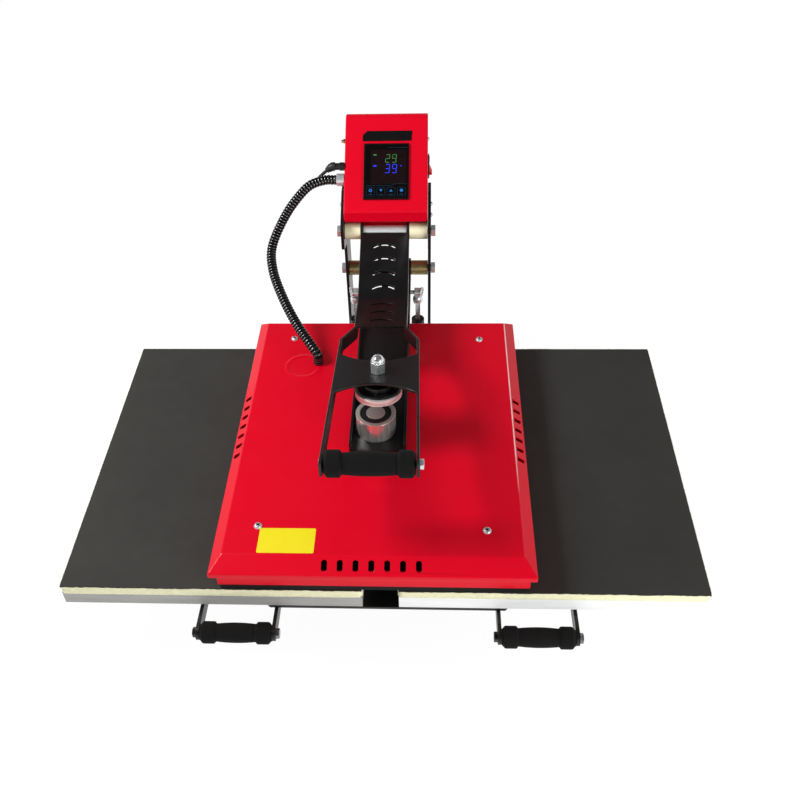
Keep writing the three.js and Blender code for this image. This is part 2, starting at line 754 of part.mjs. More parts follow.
// Head arm: a channel open at the top, whose sides rise to the lower shaft
function addHeadArm() {
  const half = ARM_WIDTH / 2;
  const lowTop = armZ + ARM_FLOOR + ARM_SIDE_HEIGHT;
  const sideOutline = [
    [ARM_FRONT_Y, armZ],
    [ARM_FLOOR_REAR_Y, armZ],
    [LOWER_SHAFT_Y + ARM_LUG_RADIUS / 2, LOWER_SHAFT_Z - ARM_LUG_RADIUS * Math.cos(Math.PI / 6)],
    [LOWER_SHAFT_Y, LOWER_SHAFT_Z + ARM_LUG_RADIUS],
    [SPRING_Y, SPRING_EYE_Z + SPRING_EYE_RADIUS * 2],
    [ARM_RISE_Y, lowTop - ARM_RELIEF],
    [ARM_RELIEF_Y, lowTop - ARM_RELIEF],
    [ARM_RELIEF_Y - ARM_RELIEF_RAMP, lowTop],
    [ARM_FRONT_Y, lowTop],
  ];
  const floor = block(
    HEAD_X - half,
    HEAD_X + half,
    ARM_FRONT_Y,
    ARM_FLOOR_REAR_Y,
    armZ,
    armZ + ARM_FLOOR,
  );
  const parts = [floor];
  for (const [, sign] of sides) {
    const a = HEAD_X + sign * half;
    const b = HEAD_X + sign * (half - ARM_PLATE);
    parts.push(profileX(sideOutline, Math.min(a, b), Math.max(a, b)));
    parts.push(barX(ARM_LUG_RADIUS, Math.min(a, b), Math.max(a, b), LOWER_SHAFT_Y, LOWER_SHAFT_Z, 32));
  }
  const inner = half - ARM_PLATE / 2;
  const hub = barX(ARM_HUB_RADIUS, HEAD_X - inner, HEAD_X + inner, LOWER_SHAFT_Y, LOWER_SHAFT_Z);
  const pin = barX(LINK_PIN_RADIUS, HEAD_X - inner, HEAD_X + inner, LINK_PIN_Y, LINK_PIN_Z, 16);
  const bore = barX(
    LOWER_SHAFT_RADIUS + SEAT,
    HEAD_X - half - OVERRUN,
    HEAD_X + half + OVERRUN,
    LOWER_SHAFT_Y,
    LOWER_SHAFT_Z,
  );
  add("head_arm", cut(joined(...parts, hub, pin), bore), blackPaint);
}

// Electromagnet: a steel pot with a core, and the potted coil between them
function addMagnet() {
  const coilZ = magnetTop - MAGNET_COIL_DEPTH;
  const outer = MAGNET_RADIUS - MAGNET_WALL;
  const pot = barZ(MAGNET_RADIUS, MAGNET_X, MAGNET_Y, magnetZ, magnetTop, 48);
  const pocket = cut(
    barZ(outer, MAGNET_X, MAGNET_Y, coilZ, magnetTop + OVERRUN, 40),
    barZ(MAGNET_CORE_RADIUS, MAGNET_X, MAGNET_Y, coilZ - OVERRUN, magnetTop + OVERRUN, 32),
  );
  add("magnet_pot", cut(pot, pocket), steel);
  const ring = cut(
    barZ(outer - SEAT, MAGNET_X, MAGNET_Y, coilZ + SEAT, magnetTop - SEAT, 40),
    barZ(MAGNET_CORE_RADIUS + SEAT, MAGNET_X, MAGNET_Y, coilZ - OVERRUN, magnetTop + OVERRUN, 32),
  );
  add("magnet_coil", ring, plastic);
}

// Height of the top of the fork and of the front part of the web above the bench
function forkZ(y) {
  return LEVER_BEND_Z + (LEVER_BEND_Y - y) * Math.tan(FORK_ANGLE);
}

// Outer width of the fork
function forkWidth(y) {
  const share = (FORK_REAR_Y - y) / (FORK_REAR_Y - FORK_FRONT_Y);
  return FORK_REAR_WIDTH + (FORK_FRONT_WIDTH - FORK_REAR_WIDTH) * share;
}

// Slope of the rear part of the web
const webSlope = (LEVER_WEB_REAR_Z - LEVER_BEND_Z) / (LEVER_WEB_REAR_Y - LEVER_BEND_Y);

function webZ(y) {
  return y > LEVER_BEND_Y ? LEVER_BEND_Z + (y - LEVER_BEND_Y) * webSlope : forkZ(y);
}

// One side of the lever, as a strip through places given by their distance from the middle
function leverSide(sign) {
  const stations = [
    [LEVER_WIDTH / 2, TOP_SHAFT_Y],
    [LEVER_WIDTH / 2, LEVER_BEND_Y],
    [LEVER_WIDTH / 2, LEVER_WEB_FRONT_Y],
    [FORK_REAR_WIDTH / 2, FORK_REAR_Y],
    [FORK_FRONT_WIDTH / 2, FORK_FRONT_Y],
  ];
  return loft(
    stations.map(([x, y]) => {
      const outer = HEAD_X + sign * x;
      const inner = HEAD_X + sign * (x - LEVER_PLATE);
      const top = webZ(y);
      return [
        [inner, y, top - LEVER_SIDE_HEIGHT],
        [outer, y, top - LEVER_SIDE_HEIGHT],
        [outer, y, top],
        [inner, y, top],
      ];
    }),
  );
}

// A curved slot through the web: an arc that is higher in the middle
function arcSlot(y) {
  const steps = 6;
  const rear = [];
  const front = [];
  for (let i = 0; i <= steps; i++) {
    const share = (2 * i) / steps - 1;
    const x = HEAD_X + (share * SLOT_CHORD) / 2;
    const bow = SLOT_RISE * (1 - share * share);
    rear.push([x, y + bow + SLOT_WIDTH / 2]);
    front.push([x, y + bow - SLOT_WIDTH / 2]);
  }
  const z = webZ(y);
  return profileZ([...front, ...rear.reverse()], z - SLOT_PITCH, z + SLOT_PITCH);
}

// The plate across the fork, with hollowed front and rear edges
function crossPlate() {
  const steps = 8;
  const front = [];
  const rear = [];
  const inner = (FORK_REAR_WIDTH - LEVER_PLATE) / 2;
  for (let i = 0; i <= steps; i++) {
    const share = (2 * i) / steps - 1;
    const half = (CROSS_PLATE_WAIST + (CROSS_PLATE_SIDE - CROSS_PLATE_WAIST) * share * share) / 2;
    front.push([HEAD_X + share * inner, CROSS_PLATE_Y - half]);
    rear.push([HEAD_X + share * inner, CROSS_PLATE_Y + half]);
  }
  const flat = profileZ([...front, ...rear.reverse()], -LEVER_PLATE, 0);
  return flat
    .translate([0, -CROSS_PLATE_Y, 0])
    .rotate([-THREE.MathUtils.radToDeg(FORK_ANGLE), 0, 0])
    .translate([0, CROSS_PLATE_Y, forkZ(CROSS_PLATE_Y)]);
}

// Places a body that stands upright on the latched armature into the raised lever
function raised(body) {
  return body
    .translate([0, -TOP_SHAFT_Y, -TOP_SHAFT_Z])
    .rotate([-THREE.MathUtils.radToDeg(FORK_ANGLE), 0, 0])
    .translate([0, TOP_SHAFT_Y, TOP_SHAFT_Z]);
}

// Height of the cross plate's top over the magnet when the lever is latched
function latchedPlateZ() {
  const y = CROSS_PLATE_Y - TOP_SHAFT_Y;
  const z = forkZ(CROSS_PLATE_Y) - TOP_SHAFT_Z;
  return TOP_SHAFT_Z + y * Math.sin(FORK_ANGLE) + z * Math.cos(FORK_ANGLE);
}

function addLever() {
  const half = LEVER_WIDTH / 2;
  const inner = half - LEVER_PLATE;
  const webStations = [LEVER_WEB_REAR_Y, LEVER_BEND_Y, LEVER_WEB_FRONT_Y];
  const web = loft(
    webStations.map((y) => [
      [HEAD_X - inner - LEVER_PLATE / 2, y, webZ(y) - LEVER_PLATE],
      [HEAD_X + inner + LEVER_PLATE / 2, y, webZ(y) - LEVER_PLATE],
      [HEAD_X + inner + LEVER_PLATE / 2, y, webZ(y)],
      [HEAD_X - inner - LEVER_PLATE / 2, y, webZ(y)],
    ]),
  );
  const parts = [leverSide(-1), leverSide(1), crossPlate()];
  const gripZ = forkZ(LEVER_GRIP_Y) - LEVER_GRIP_DROP;
  const rodHalf = (FORK_FRONT_WIDTH - LEVER_PLATE) / 2;
  const outerHalf = FORK_FRONT_WIDTH / 2;
  parts.push(barX(LEVER_ROD_RADIUS, HEAD_X - rodHalf, HEAD_X + rodHalf, LEVER_GRIP_Y, gripZ));
  for (const [, sign] of sides) {
    const a = HEAD_X + sign * half;
    const b = HEAD_X + sign * inner;
    parts.push(barX(LEVER_LUG_RADIUS, Math.min(a, b), Math.max(a, b), TOP_SHAFT_Y, TOP_SHAFT_Z, 32));
    const c = HEAD_X + sign * (outerHalf - LEVER_PLATE / 2);
    const rise = sign > 0 ? LEVER_BOLT_RISE : LEVER_NUT_RISE;
    const d = HEAD_X + sign * (outerHalf + rise);
    parts.push(barX(LEVER_BOLT_RADIUS, Math.min(c, d), Math.max(c, d), LEVER_GRIP_Y, gripZ, 6));
  }
  const cuts = [];
  for (let i = 0; i < REAR_SLOT_COUNT; i++) {
    cuts.push(arcSlot(LEVER_BEND_Y + REAR_SLOT_OFFSET + SLOT_PITCH * i));
  }
  for (let i = 0; i < FRONT_SLOT_COUNT; i++) {
    cuts.push(arcSlot(LEVER_BEND_Y - FRONT_SLOT_OFFSET - SLOT_PITCH * i));
  }
  const x0 = HEAD_X - half - OVERRUN;
  const x1 = HEAD_X + half + OVERRUN;
  cuts.push(barX(TOP_SHAFT_RADIUS + SEAT, x0, x1, TOP_SHAFT_Y, TOP_SHAFT_Z));
  const top = latchedPlateZ();
  const studHole = barZ(STUD_RADIUS + SEAT, ARMATURE_X, STUD_Y, magnetTop, top + NUT_HEIGHT, 20);
  cuts.push(raised(studHole));
  add("lever_frame", cut(joined(web, ...parts), ...cuts), blackPaint);

  const gripLength = forkWidth(LEVER_GRIP_Y) - 2 * LEVER_PLATE - 4 * SEAT;
  add(
    "lever_grip",
    gripBody(
      HEAD_X,
      LEVER_GRIP_Y,
      gripZ,
      gripLength,
      LEVER_GRIP_RADIUS,
      LEVER_COLLAR_RADIUS,
      LEVER_COLLAR_LENGTH,
      LEVER_ROD_RADIUS,
    ),
    rubber,
  );

  const discTop = magnetTop + SEAT + ARMATURE_HEIGHT;
  const disc = barZ(ARMATURE_RADIUS, ARMATURE_X, ARMATURE_Y, magnetTop + SEAT, discTop, 48);
  const capTop = discTop + ARMATURE_CAP_HEIGHT;
  const cap = barZ(ARMATURE_CAP_RADIUS, ARMATURE_X, ARMATURE_Y, discTop, capTop, 40);
  const bossTop = top - LEVER_PLATE - SEAT;
  const boss = barZ(ARMATURE_BOSS_RADIUS, ARMATURE_X, ARMATURE_Y, capTop, (capTop + bossTop) / 2, 32);
  const stud = barZ(STUD_RADIUS, ARMATURE_X, STUD_Y, capTop, top + SEAT + NUT_HEIGHT / 2, 20);
  add("armature_disc", raised(joined(disc, cap, boss, stud)), steel);

  const nut = barZ(NUT_RADIUS, ARMATURE_X, STUD_Y, top + SEAT, top + SEAT + NUT_HEIGHT, 6);
  const domeShape = new THREE.SphereGeometry(NUT_DOME_RADIUS, 20, 10);
  domeShape.translate(ARMATURE_X, STUD_Y, top + SEAT + NUT_HEIGHT);
  const thread = barZ(STUD_RADIUS + SEAT, ARMATURE_X, STUD_Y, top - OVERRUN, top + 2 * SEAT + NUT_HEIGHT / 2, 20);
  add("acorn_nut", raised(cut(joined(nut, solid(domeShape)), thread)), zinc);
}

// Crank: a sleeve on the top shaft with two cheeks and a pin; the link hangs on that pin
function addCrankAndLink() {
  const sleeveHalf = LEVER_WIDTH / 2 - LEVER_PLATE - SEAT;
  const near = LINK_THICKNESS / 2 + RUNNING;
  const far = near + CRANK_CHEEK;
  const parts = [];
  const neckY = TOP_SHAFT_Y - CRANK_NECK_BACK;
  const neckZ = TOP_SHAFT_Z - CRANK_NECK_DROP;
  const angle = Math.atan2(neckZ - CRANK_PIN_Z, neckY - CRANK_PIN_Y);
  const offY = (CRANK_NECK / 2) * Math.sin(angle);
  const offZ = (CRANK_NECK / 2) * Math.cos(angle);
  const cheek = [
    [CRANK_PIN_Y + offY, CRANK_PIN_Z - offZ],
    [neckY + offY, neckZ - offZ],
    [neckY - offY, neckZ + offZ],
    [CRANK_PIN_Y - offY, CRANK_PIN_Z + offZ],
  ];
  for (const [, sign] of sides) {
    const a = HEAD_X + sign * near;
    const b = HEAD_X + sign * far;
    const x0 = Math.min(a, b);
    const x1 = Math.max(a, b);
    parts.push(profileX(cheek, x0, x1));
    parts.push(barX(CRANK_HUB_RADIUS, x0, x1, TOP_SHAFT_Y, TOP_SHAFT_Z));
    parts.push(barX(CRANK_RADIUS, x0, x1, CRANK_PIN_Y, CRANK_PIN_Z));
  }
  const sleeve = barX(SLEEVE_RADIUS, HEAD_X - sleeveHalf, HEAD_X + sleeveHalf, TOP_SHAFT_Y, TOP_SHAFT_Z);
  const pinHalf = (near + far) / 2;
  const pin = barX(LINK_PIN_RADIUS, HEAD_X - pinHalf, HEAD_X + pinHalf, CRANK_PIN_Y, CRANK_PIN_Z, 16);
  const x0 = HEAD_X - sleeveHalf - OVERRUN;
  const x1 = HEAD_X + sleeveHalf + OVERRUN;
  const bore = barX(TOP_SHAFT_RADIUS + SEAT, x0, x1, TOP_SHAFT_Y, TOP_SHAFT_Z);
  add("crank_sleeve", cut(joined(sleeve, ...parts, pin), bore), steel);

  const left = HEAD_X - LINK_THICKNESS / 2;
  const right = HEAD_X + LINK_THICKNESS / 2;
  const dy = LINK_PIN_Y - CRANK_PIN_Y;
  const dz = CRANK_PIN_Z - LINK_PIN_Z;
  const span = Math.hypot(dy, dz);
  const sideY = ((LINK_EYE_RADIUS * LINK_NECK_SHARE) * dz) / span;
  const sideZ = ((LINK_EYE_RADIUS * LINK_NECK_SHARE) * dy) / span;
  const bar = profileX(
    [
      [LINK_PIN_Y - sideY, LINK_PIN_Z - sideZ],
      [LINK_PIN_Y + sideY, LINK_PIN_Z + sideZ],
      [CRANK_PIN_Y + sideY, CRANK_PIN_Z + sideZ],
      [CRANK_PIN_Y - sideY, CRANK_PIN_Z - sideZ],
    ],
    left,
    right,
  );
  const upper = barX(LINK_EYE_RADIUS, left, right, CRANK_PIN_Y, CRANK_PIN_Z);
  const lower = barX(LINK_EYE_RADIUS + LINK_SLOT, left, right, LINK_PIN_Y, LINK_PIN_Z);
  const x2 = left - OVERRUN;
  const x3 = right + OVERRUN;
  const upperBore = barX(LINK_PIN_RADIUS + SEAT, x2, x3, CRANK_PIN_Y, CRANK_PIN_Z, 16);
  const lowerBore = barX(LINK_PIN_RADIUS + LINK_SLOT, x2, x3, LINK_PIN_Y, LINK_PIN_Z, 16);
  add("lift_link", cut(joined(bar, upper, lower), upperBore, lowerBore), blackPaint);
}

// Gas springs: a cylinder on the upright's stud and a rod whose eye reaches the head arm
function addGasSprings() {
  const rodFoot = SPRING_TOP_Z - SPRING_ROD_INSET;
  for (const [side, sign] of sides) {
    const x = HEAD_X + (sign * SPRING_SPACING) / 2;
    const half = SPRING_EYE_WIDTH / 2;
    const tubeFoot = SPRING_FOOT_Z + SPRING_EYE_RADIUS + SPRING_NECK;
    const tube = barZ(SPRING_RADIUS, x, SPRING_Y, tubeFoot, SPRING_TOP_Z, 28);
    const neck = barZ(SPRING_PIN_RADIUS + SEAT, x, SPRING_Y, SPRING_FOOT_Z, tubeFoot + SPRING_NECK, 16);
    const foot = barX(SPRING_EYE_RADIUS, x - half, x + half, SPRING_Y, SPRING_FOOT_Z);
    const bore = barZ(SPRING_ROD_RADIUS + SEAT, x, SPRING_Y, rodFoot - OVERRUN, SPRING_TOP_Z + OVERRUN);
    const eye = barX(SPRING_PIN_RADIUS + SEAT, x - half - OVERRUN, x + half + OVERRUN, SPRING_Y, SPRING_FOOT_Z, 16);
    add(`gas_cylinder_${side}`, cut(joined(tube, neck, foot), bore, eye), blackPaint);
    const rod = barZ(SPRING_ROD_RADIUS, x, SPRING_Y, rodFoot, SPRING_EYE_Z, 20);
    const top = barX(SPRING_EYE_RADIUS, x - half, x + half, SPRING_Y, SPRING_EYE_Z);
    const tip = HEAD_X + sign * (ARM_WIDTH / 2 + SEAT);
    const stud = barX(SPRING_PIN_RADIUS, Math.min(x, tip), Math.max(x, tip), SPRING_Y, SPRING_EYE_Z, 16);
    add(`gas_rod_${side}`, joined(rod, top, stud), zinc);
  }
}

// Side outline of the control box, drawn in from its sheet by the given amount
function boxOutline(inset, rearRun) {
  const radius = BOX_FOLD_RADIUS - inset;
  const points = [
    [boxRear - inset + rearRun, BOX_BOTTOM_Z + inset],
    [BOX_FRONT_Y + inset, BOX_BOTTOM_Z + inset],
    [BOX_FRONT_Y + inset, panelZ - inset * Math.tan(PANEL_ANGLE / 2)],
  ];
  for (let i = 0; i <= BOX_FOLD_STEPS; i++) {
    const angle = ((Math.PI / 2 + PANEL_ANGLE) * (BOX_FOLD_STEPS - i)) / BOX_FOLD_STEPS;
    points.push([foldY + radius * Math.cos(angle), foldZ + radius * Math.sin(angle)]);
  }
  if (rearRun > 0) {
    points.push([boxRear - inset + rearRun, foldZ]);
  }
  return points.reverse();
}

// Places a body of the display, drawn on a level panel, onto the sloping one
function onPanel(body) {
  return body.rotate([THREE.MathUtils.radToDeg(PANEL_ANGLE), 0, 0]).translate([HEAD_X + DISPLAY_SHIFT, panelY, panelZ]);
}

function addBoxShell() {
  const wide = FRAME_X + boxHalf;
  const narrow = FRAME_X - boxHalf;
  const outer = profileX(boxOutline(0, 0), narrow, wide);
  const inner = profileX(boxOutline(BOX_WALL, OVERRUN), narrow + BOX_WALL, wide - BOX_WALL);
  const bodyX = DISPLAY_WIDTH / 2 - DISPLAY_BODY_INSET + SEAT;
  const bodyV = DISPLAY_HEIGHT / 2 - DISPLAY_BODY_INSET + SEAT;
  const window = block(-bodyX, bodyX, DISPLAY_UP - bodyV, DISPLAY_UP + bodyV, -OVERRUN, OVERRUN);
  const rockerY = ROCKER_BEZEL_WIDTH / 2 - ROCKER_BEZEL_RIM + SEAT;
  const rockerZ = ROCKER_BEZEL_LENGTH / 2 - ROCKER_BEZEL_RIM + SEAT;
  const rockerHole = block(
    wide - OVERRUN,
    wide + OVERRUN,
    ROCKER_Y - rockerY,
    ROCKER_Y + rockerY,
    ROCKER_Z - rockerZ,
    ROCKER_Z + rockerZ,
  );
  const apron = block(narrow, wide, BOX_APRON_Y, BOX_APRON_Y + BOX_WALL, BOX_APRON_Z, BOX_BOTTOM_Z + BOX_WALL);
  add("control_box_shell", joined(cut(outer, inner, onPanel(window), rockerHole), apron), redPaint);

  const coverFront = boxRear - REAR_COVER_WALL;
  const half = boxHalf - BOX_WALL - SEAT;
  const bottom = BOX_BOTTOM_Z + BOX_WALL + SEAT;
  const plate = block(FRAME_X - half, FRAME_X + half, coverFront, boxRear, bottom, foldZ - SEAT);
  const inletX = HEAD_X + INLET_X;
  const holeX = INLET_WIDTH / 2 + SEAT;
  const holeZ = INLET_HEIGHT / 2 + SEAT;
  const hole = block(
    inletX - holeX,
    inletX + holeX,
    coverFront - OVERRUN,
    boxRear + OVERRUN,
    INLET_Z - holeZ,
    INLET_Z + holeZ,
  );
  add("control_box_rear_cover", cut(plate, hole), blackPaint);

  const flange = block(
    inletX - INLET_WIDTH / 2 - INLET_FLANGE,
    inletX + INLET_WIDTH / 2 + INLET_FLANGE,
    boxRear + SEAT,
    boxRear + SEAT + INLET_RIM,
    INLET_Z - INLET_HEIGHT / 2 - INLET_FLANGE,
    INLET_Z + INLET_HEIGHT / 2 + INLET_FLANGE,
  );
  const rearEnd = boxRear + SEAT + INLET_RIM;
  const housing = block(
    inletX - INLET_WIDTH / 2,
    inletX + INLET_WIDTH / 2,
    rearEnd - INLET_DEPTH,
    rearEnd,
    INLET_Z - INLET_HEIGHT / 2,
    INLET_Z + INLET_HEIGHT / 2,
  );
  const socket = block(
    inletX - INLET_WIDTH / 2 + INLET_RIM,
    inletX + INLET_WIDTH / 2 - INLET_RIM,
    rearEnd - INLET_SOCKET_DEPTH,
    rearEnd + OVERRUN,
    INLET_Z - INLET_HEIGHT / 2 + INLET_RIM,
    INLET_Z + INLET_HEIGHT / 2 - INLET_RIM,
  );
  add("power_inlet", cut(joined(flange, housing), socket), plastic);

  const relayRear = coverFront - SEAT;
  add(
    "heater_relay",
    block(
      HEAD_X - RELAY_X - RELAY_WIDTH / 2,
      HEAD_X - RELAY_X + RELAY_WIDTH / 2,
      relayRear - RELAY_DEPTH,
      relayRear,
      INLET_Z - RELAY_HEIGHT / 2,
      INLET_Z + RELAY_HEIGHT / 2,
    ),
    plastic,
  );
}

function addDisplay() {
  const x = DISPLAY_WIDTH / 2;
  const v = DISPLAY_HEIGHT / 2;
  const bodyX = x - DISPLAY_BODY_INSET;
  const bodyV = v - DISPLAY_BODY_INSET;
  const bezel = block(-x, x, DISPLAY_UP - v, DISPLAY_UP + v, SEAT, SEAT + DISPLAY_FRAME);
  const body = block(-bodyX, bodyX, DISPLAY_UP - bodyV, DISPLAY_UP + bodyV, -DISPLAY_BODY_DEPTH, SEAT + DISPLAY_FRAME);
  const floor = SEAT + DISPLAY_FRAME - GLASS_THICKNESS;
  const recessX = x - DISPLAY_FRAME;
  const recessV = v - DISPLAY_FRAME;
  const recess = block(
    -recessX,
    recessX,
    DISPLAY_UP - recessV,
    DISPLAY_UP + recessV,
    floor - SEAT,
    floor + OVERRUN,
  );
  add("display_module", onPanel(cut(joined(bezel, body), recess)), plastic);
  const pane = block(
    -recessX + SEAT,
    recessX - SEAT,
    DISPLAY_UP - recessV + SEAT,
    DISPLAY_UP + recessV - SEAT,
    floor,
    floor + GLASS_THICKNESS,
  );
  add("display_glass", onPanel(pane), glass);
}

// Power switch on the right side: a bezel with a pocket and a rocker that tilts in it
function addRocker() {
  const wall = FRAME_X + boxHalf;
  const front = wall + SEAT + ROCKER_BEZEL_RISE;
  const rimY = ROCKER_BEZEL_WIDTH / 2;
  const rimZ = ROCKER_BEZEL_LENGTH / 2;
  const bodyY = rimY - ROCKER_BEZEL_RIM;
  const bodyZ = rimZ - ROCKER_BEZEL_RIM;
  const rim = block(wall + SEAT, front, ROCKER_Y - rimY, ROCKER_Y + rimY, ROCKER_Z - rimZ, ROCKER_Z + rimZ);
  const body = block(
    wall - ROCKER_BODY_DEPTH,
    front,
    ROCKER_Y - bodyY,
    ROCKER_Y + bodyY,
    ROCKER_Z - bodyZ,
    ROCKER_Z + bodyZ,
  );
  const pocketY = ROCKER_WIDTH / 2 + RUNNING;
  const pivotX = wall - ROCKER_PIVOT_DEPTH;
  const pocketZ = Math.hypot(ROCKER_LENGTH / 2, ROCKER_PIVOT_DEPTH + ROCKER_END_RISE) + SEAT;
  const pocket = block(
    wall - ROCKER_BODY_DEPTH + ROCKER_BEZEL_RIM,
    front + OVERRUN,
    ROCKER_Y - pocketY,
    ROCKER_Y + pocketY,
    ROCKER_Z - pocketZ,
    ROCKER_Z + pocketZ,
  );
  const pinHole = ROCKER_PIN_RADIUS + SEAT;
  const pivotPin = solid(
    new THREE.CylinderGeometry(ROCKER_PIN_RADIUS, ROCKER_PIN_RADIUS, 2 * pocketY + ROCKER_BEZEL_RIM, 12).translate(
      pivotX,
      ROCKER_Y,
      ROCKER_Z,
    ),
  );
  add("rocker_bezel", joined(cut(joined(rim, body), pocket), pivotPin), plastic);

  const end = ROCKER_LENGTH / 2;
  const outline = [
    [-ROCKER_ROOT, -ROCKER_ROOT],
    [-ROCKER_ROOT, ROCKER_ROOT],
    [ROCKER_DIP - ROCKER_END_RISE, end],
    [ROCKER_END_RISE + ROCKER_PIVOT_DEPTH, end],
    [ROCKER_DIP + ROCKER_PIVOT_DEPTH, 0],
    [ROCKER_END_RISE + ROCKER_PIVOT_DEPTH, -end],
    [ROCKER_DIP - ROCKER_END_RISE, -end],
  ];
  const shape = new THREE.Shape(outline.map(([x, z]) => new THREE.Vector2(x, z)));
  const key = new THREE.ExtrudeGeometry(shape, { depth: ROCKER_WIDTH, bevelEnabled: false });
  key.rotateX(Math.PI / 2);
  key.translate(0, ROCKER_WIDTH / 2, 0);
  const hole = new THREE.CylinderGeometry(pinHole, pinHole, ROCKER_WIDTH + OVERRUN, 12);
  const made = cut(solid(key), solid(hole));
  const tilted = made.rotate([0, -ROCKER_TILT, 0]);
  add("rocker_switch", tilted.translate([pivotX, ROCKER_Y, ROCKER_Z]), redPlastic);
}

function addGlands() {
  const wall = FRAME_X - boxHalf - SEAT;
  const hoseEnd = wall - HOSE_GLAND_LENGTH;
  const hoseNut = barX(HOSE_GLAND_RADIUS, hoseEnd, wall, HOSE_GLAND_Y, HOSE_GLAND_Z, 28);
  add("hose_gland", hoseNut, zinc);
  const leadEnd = wall - LEAD_GLAND_LENGTH;
  const leadNut = barX(LEAD_GLAND_RADIUS, (leadEnd + wall) / 2, wall, LEAD_GLAND_Y, LEAD_GLAND_Z, 6);
  const leadCap = barX(LEAD_GLAND_RADIUS * LEAD_CAP_SHARE, leadEnd, wall, LEAD_GLAND_Y, LEAD_GLAND_Z, 20);
  add("lead_gland", joined(leadNut, leadCap), plastic);
}

// Route of the ribbed hose, from its gland to the cover
function hoseRoute() {
  const start = FRAME_X - boxHalf - 2 * SEAT - HOSE_GLAND_LENGTH;
  const top = coverTop + SEAT;
  return new THREE.CatmullRomCurve3([
    new THREE.Vector3(start, HOSE_GLAND_Y, HOSE_GLAND_Z),
    new THREE.Vector3(start - HOSE_RADIUS, HOSE_GLAND_Y, HOSE_GLAND_Z),
    new THREE.Vector3(start - 2 * HOSE_RADIUS, HOSE_GLAND_Y, HOSE_GLAND_Z),
    new THREE.Vector3(-128, 608, 389),
    new THREE.Vector3(-151, 600, 369),
    new THREE.Vector3(-173, 585, 342),
    new THREE.Vector3(-192, 550, 308),
    new THREE.Vector3(-188, 515, 289),
    new THREE.Vector3(-169, 470, 267),
    new THREE.Vector3(-145, 430, 246),
    new THREE.Vector3(-122, 400, 230),
    new THREE.Vector3(HOSE_END.x, HOSE_END.y, top + 2 * HOSE_RADIUS),
    new THREE.Vector3(HOSE_END.x, HOSE_END.y, top + HOSE_RADIUS),
    new THREE.Vector3(HOSE_END.x, HOSE_END.y, top),
  ]);
}

// Route of the magnet lead, which runs along the far side of the hose
function leadRoute() {
  const start = FRAME_X - boxHalf - 2 * SEAT - LEAD_GLAND_LENGTH;
  const top = coverTop + SEAT;
  return new THREE.CatmullRomCurve3([
    new THREE.Vector3(start, LEAD_GLAND_Y, LEAD_GLAND_Z),
    new THREE.Vector3(start - LEAD_RADIUS, LEAD_GLAND_Y, LEAD_GLAND_Z),
    new THREE.Vector3(start - 2 * LEAD_RADIUS, LEAD_GLAND_Y, LEAD_GLAND_Z),
    new THREE.Vector3(-118, 625, 404),
    new THREE.Vector3(-142, 617, 378),
    new THREE.Vector3(-166, 602, 345),
    new THREE.Vector3(-190, 566, 302),
    new THREE.Vector3(-187, 530, 276),
    new THREE.Vector3(-169, 487, 255),
    new THREE.Vector3(-147, 448, 236),
    new THREE.Vector3(-124, 417, 221),
    new THREE.Vector3(LEAD_END.x, LEAD_END.y, top + 2 * LEAD_RADIUS),
    new THREE.Vector3(LEAD_END.x, LEAD_END.y, top + LEAD_RADIUS),
    new THREE.Vector3(LEAD_END.x, LEAD_END.y, top),
  ]);
}

// Points of a ring round the route, at a share of its length
function ringPoints(route, frames, index, count, radius) {
  const centre = route.getPointAt(index / count);
  const points = [];
  for (let k = 0; k < HOSE_SIDES; k++) {
    const angle = (2 * Math.PI * k) / HOSE_SIDES;
    const point = centre.clone();
    point.addScaledVector(frames.normals[index], radius * Math.cos(angle));
    point.addScaledVector(frames.binormals[index], radius * Math.sin(angle));
    points.push(point);
  }
  return points;
}

// Faces between two rings of equal count
function ringFaces(faces, a, b) {
  for (let k = 0; k < HOSE_SIDES; k++) {
    const next = (k + 1) % HOSE_SIDES;
    faces.push(a + k, a + next, b + next, a + k, b + next, b + k);
  }
}

// The ribbed hose: each rib is a valley ring and a crest ring, and a bore runs through
function addHose() {
  const route = hoseRoute();
  const length = route.getLength();
  const ribs = Math.min(HOSE_MOST_RIBS, Math.round(length / HOSE_PITCH / HOSE_BORE_STEP) * HOSE_BORE_STEP);
  const count = ribs * 2;
  const frames = route.computeFrenetFrames(count, false);
  const points = [];
  const faces = [];
  for (let i = 0; i <= count; i++) {
    const radius = i % 2 ? HOSE_RADIUS : HOSE_RADIUS - HOSE_VALLEY;
    points.push(...ringPoints(route, frames, i, count, radius));
    if (i > 0) {
      ringFaces(faces, (i - 1) * HOSE_SIDES, i * HOSE_SIDES);
    }
  }
  const boreStart = points.length;
  const boreStep = 2 * HOSE_BORE_STEP;
  for (let i = 0; i <= count; i += boreStep) {
    points.push(...ringPoints(route, frames, i, count, HOSE_BORE_RADIUS));
    if (i > 0) {
      const b = boreStart + (i / boreStep) * HOSE_SIDES;
      ringFaces(faces, b, b - HOSE_SIDES);
    }
  }
  ringFaces(faces, boreStart, 0);
  ringFaces(faces, count * HOSE_SIDES, points.length - HOSE_SIDES);
  const geometry = new THREE.BufferGeometry();
  geometry.setAttribute("position", new THREE.Float32BufferAttribute(points.flatMap((p) => p.toArray()), 3));
  geometry.setIndex(faces);
  add("corrugated_hose", outward(geometry), plastic);
  console.log(`hose ${length.toFixed(1)} mm, ${ribs} ribs`);
}

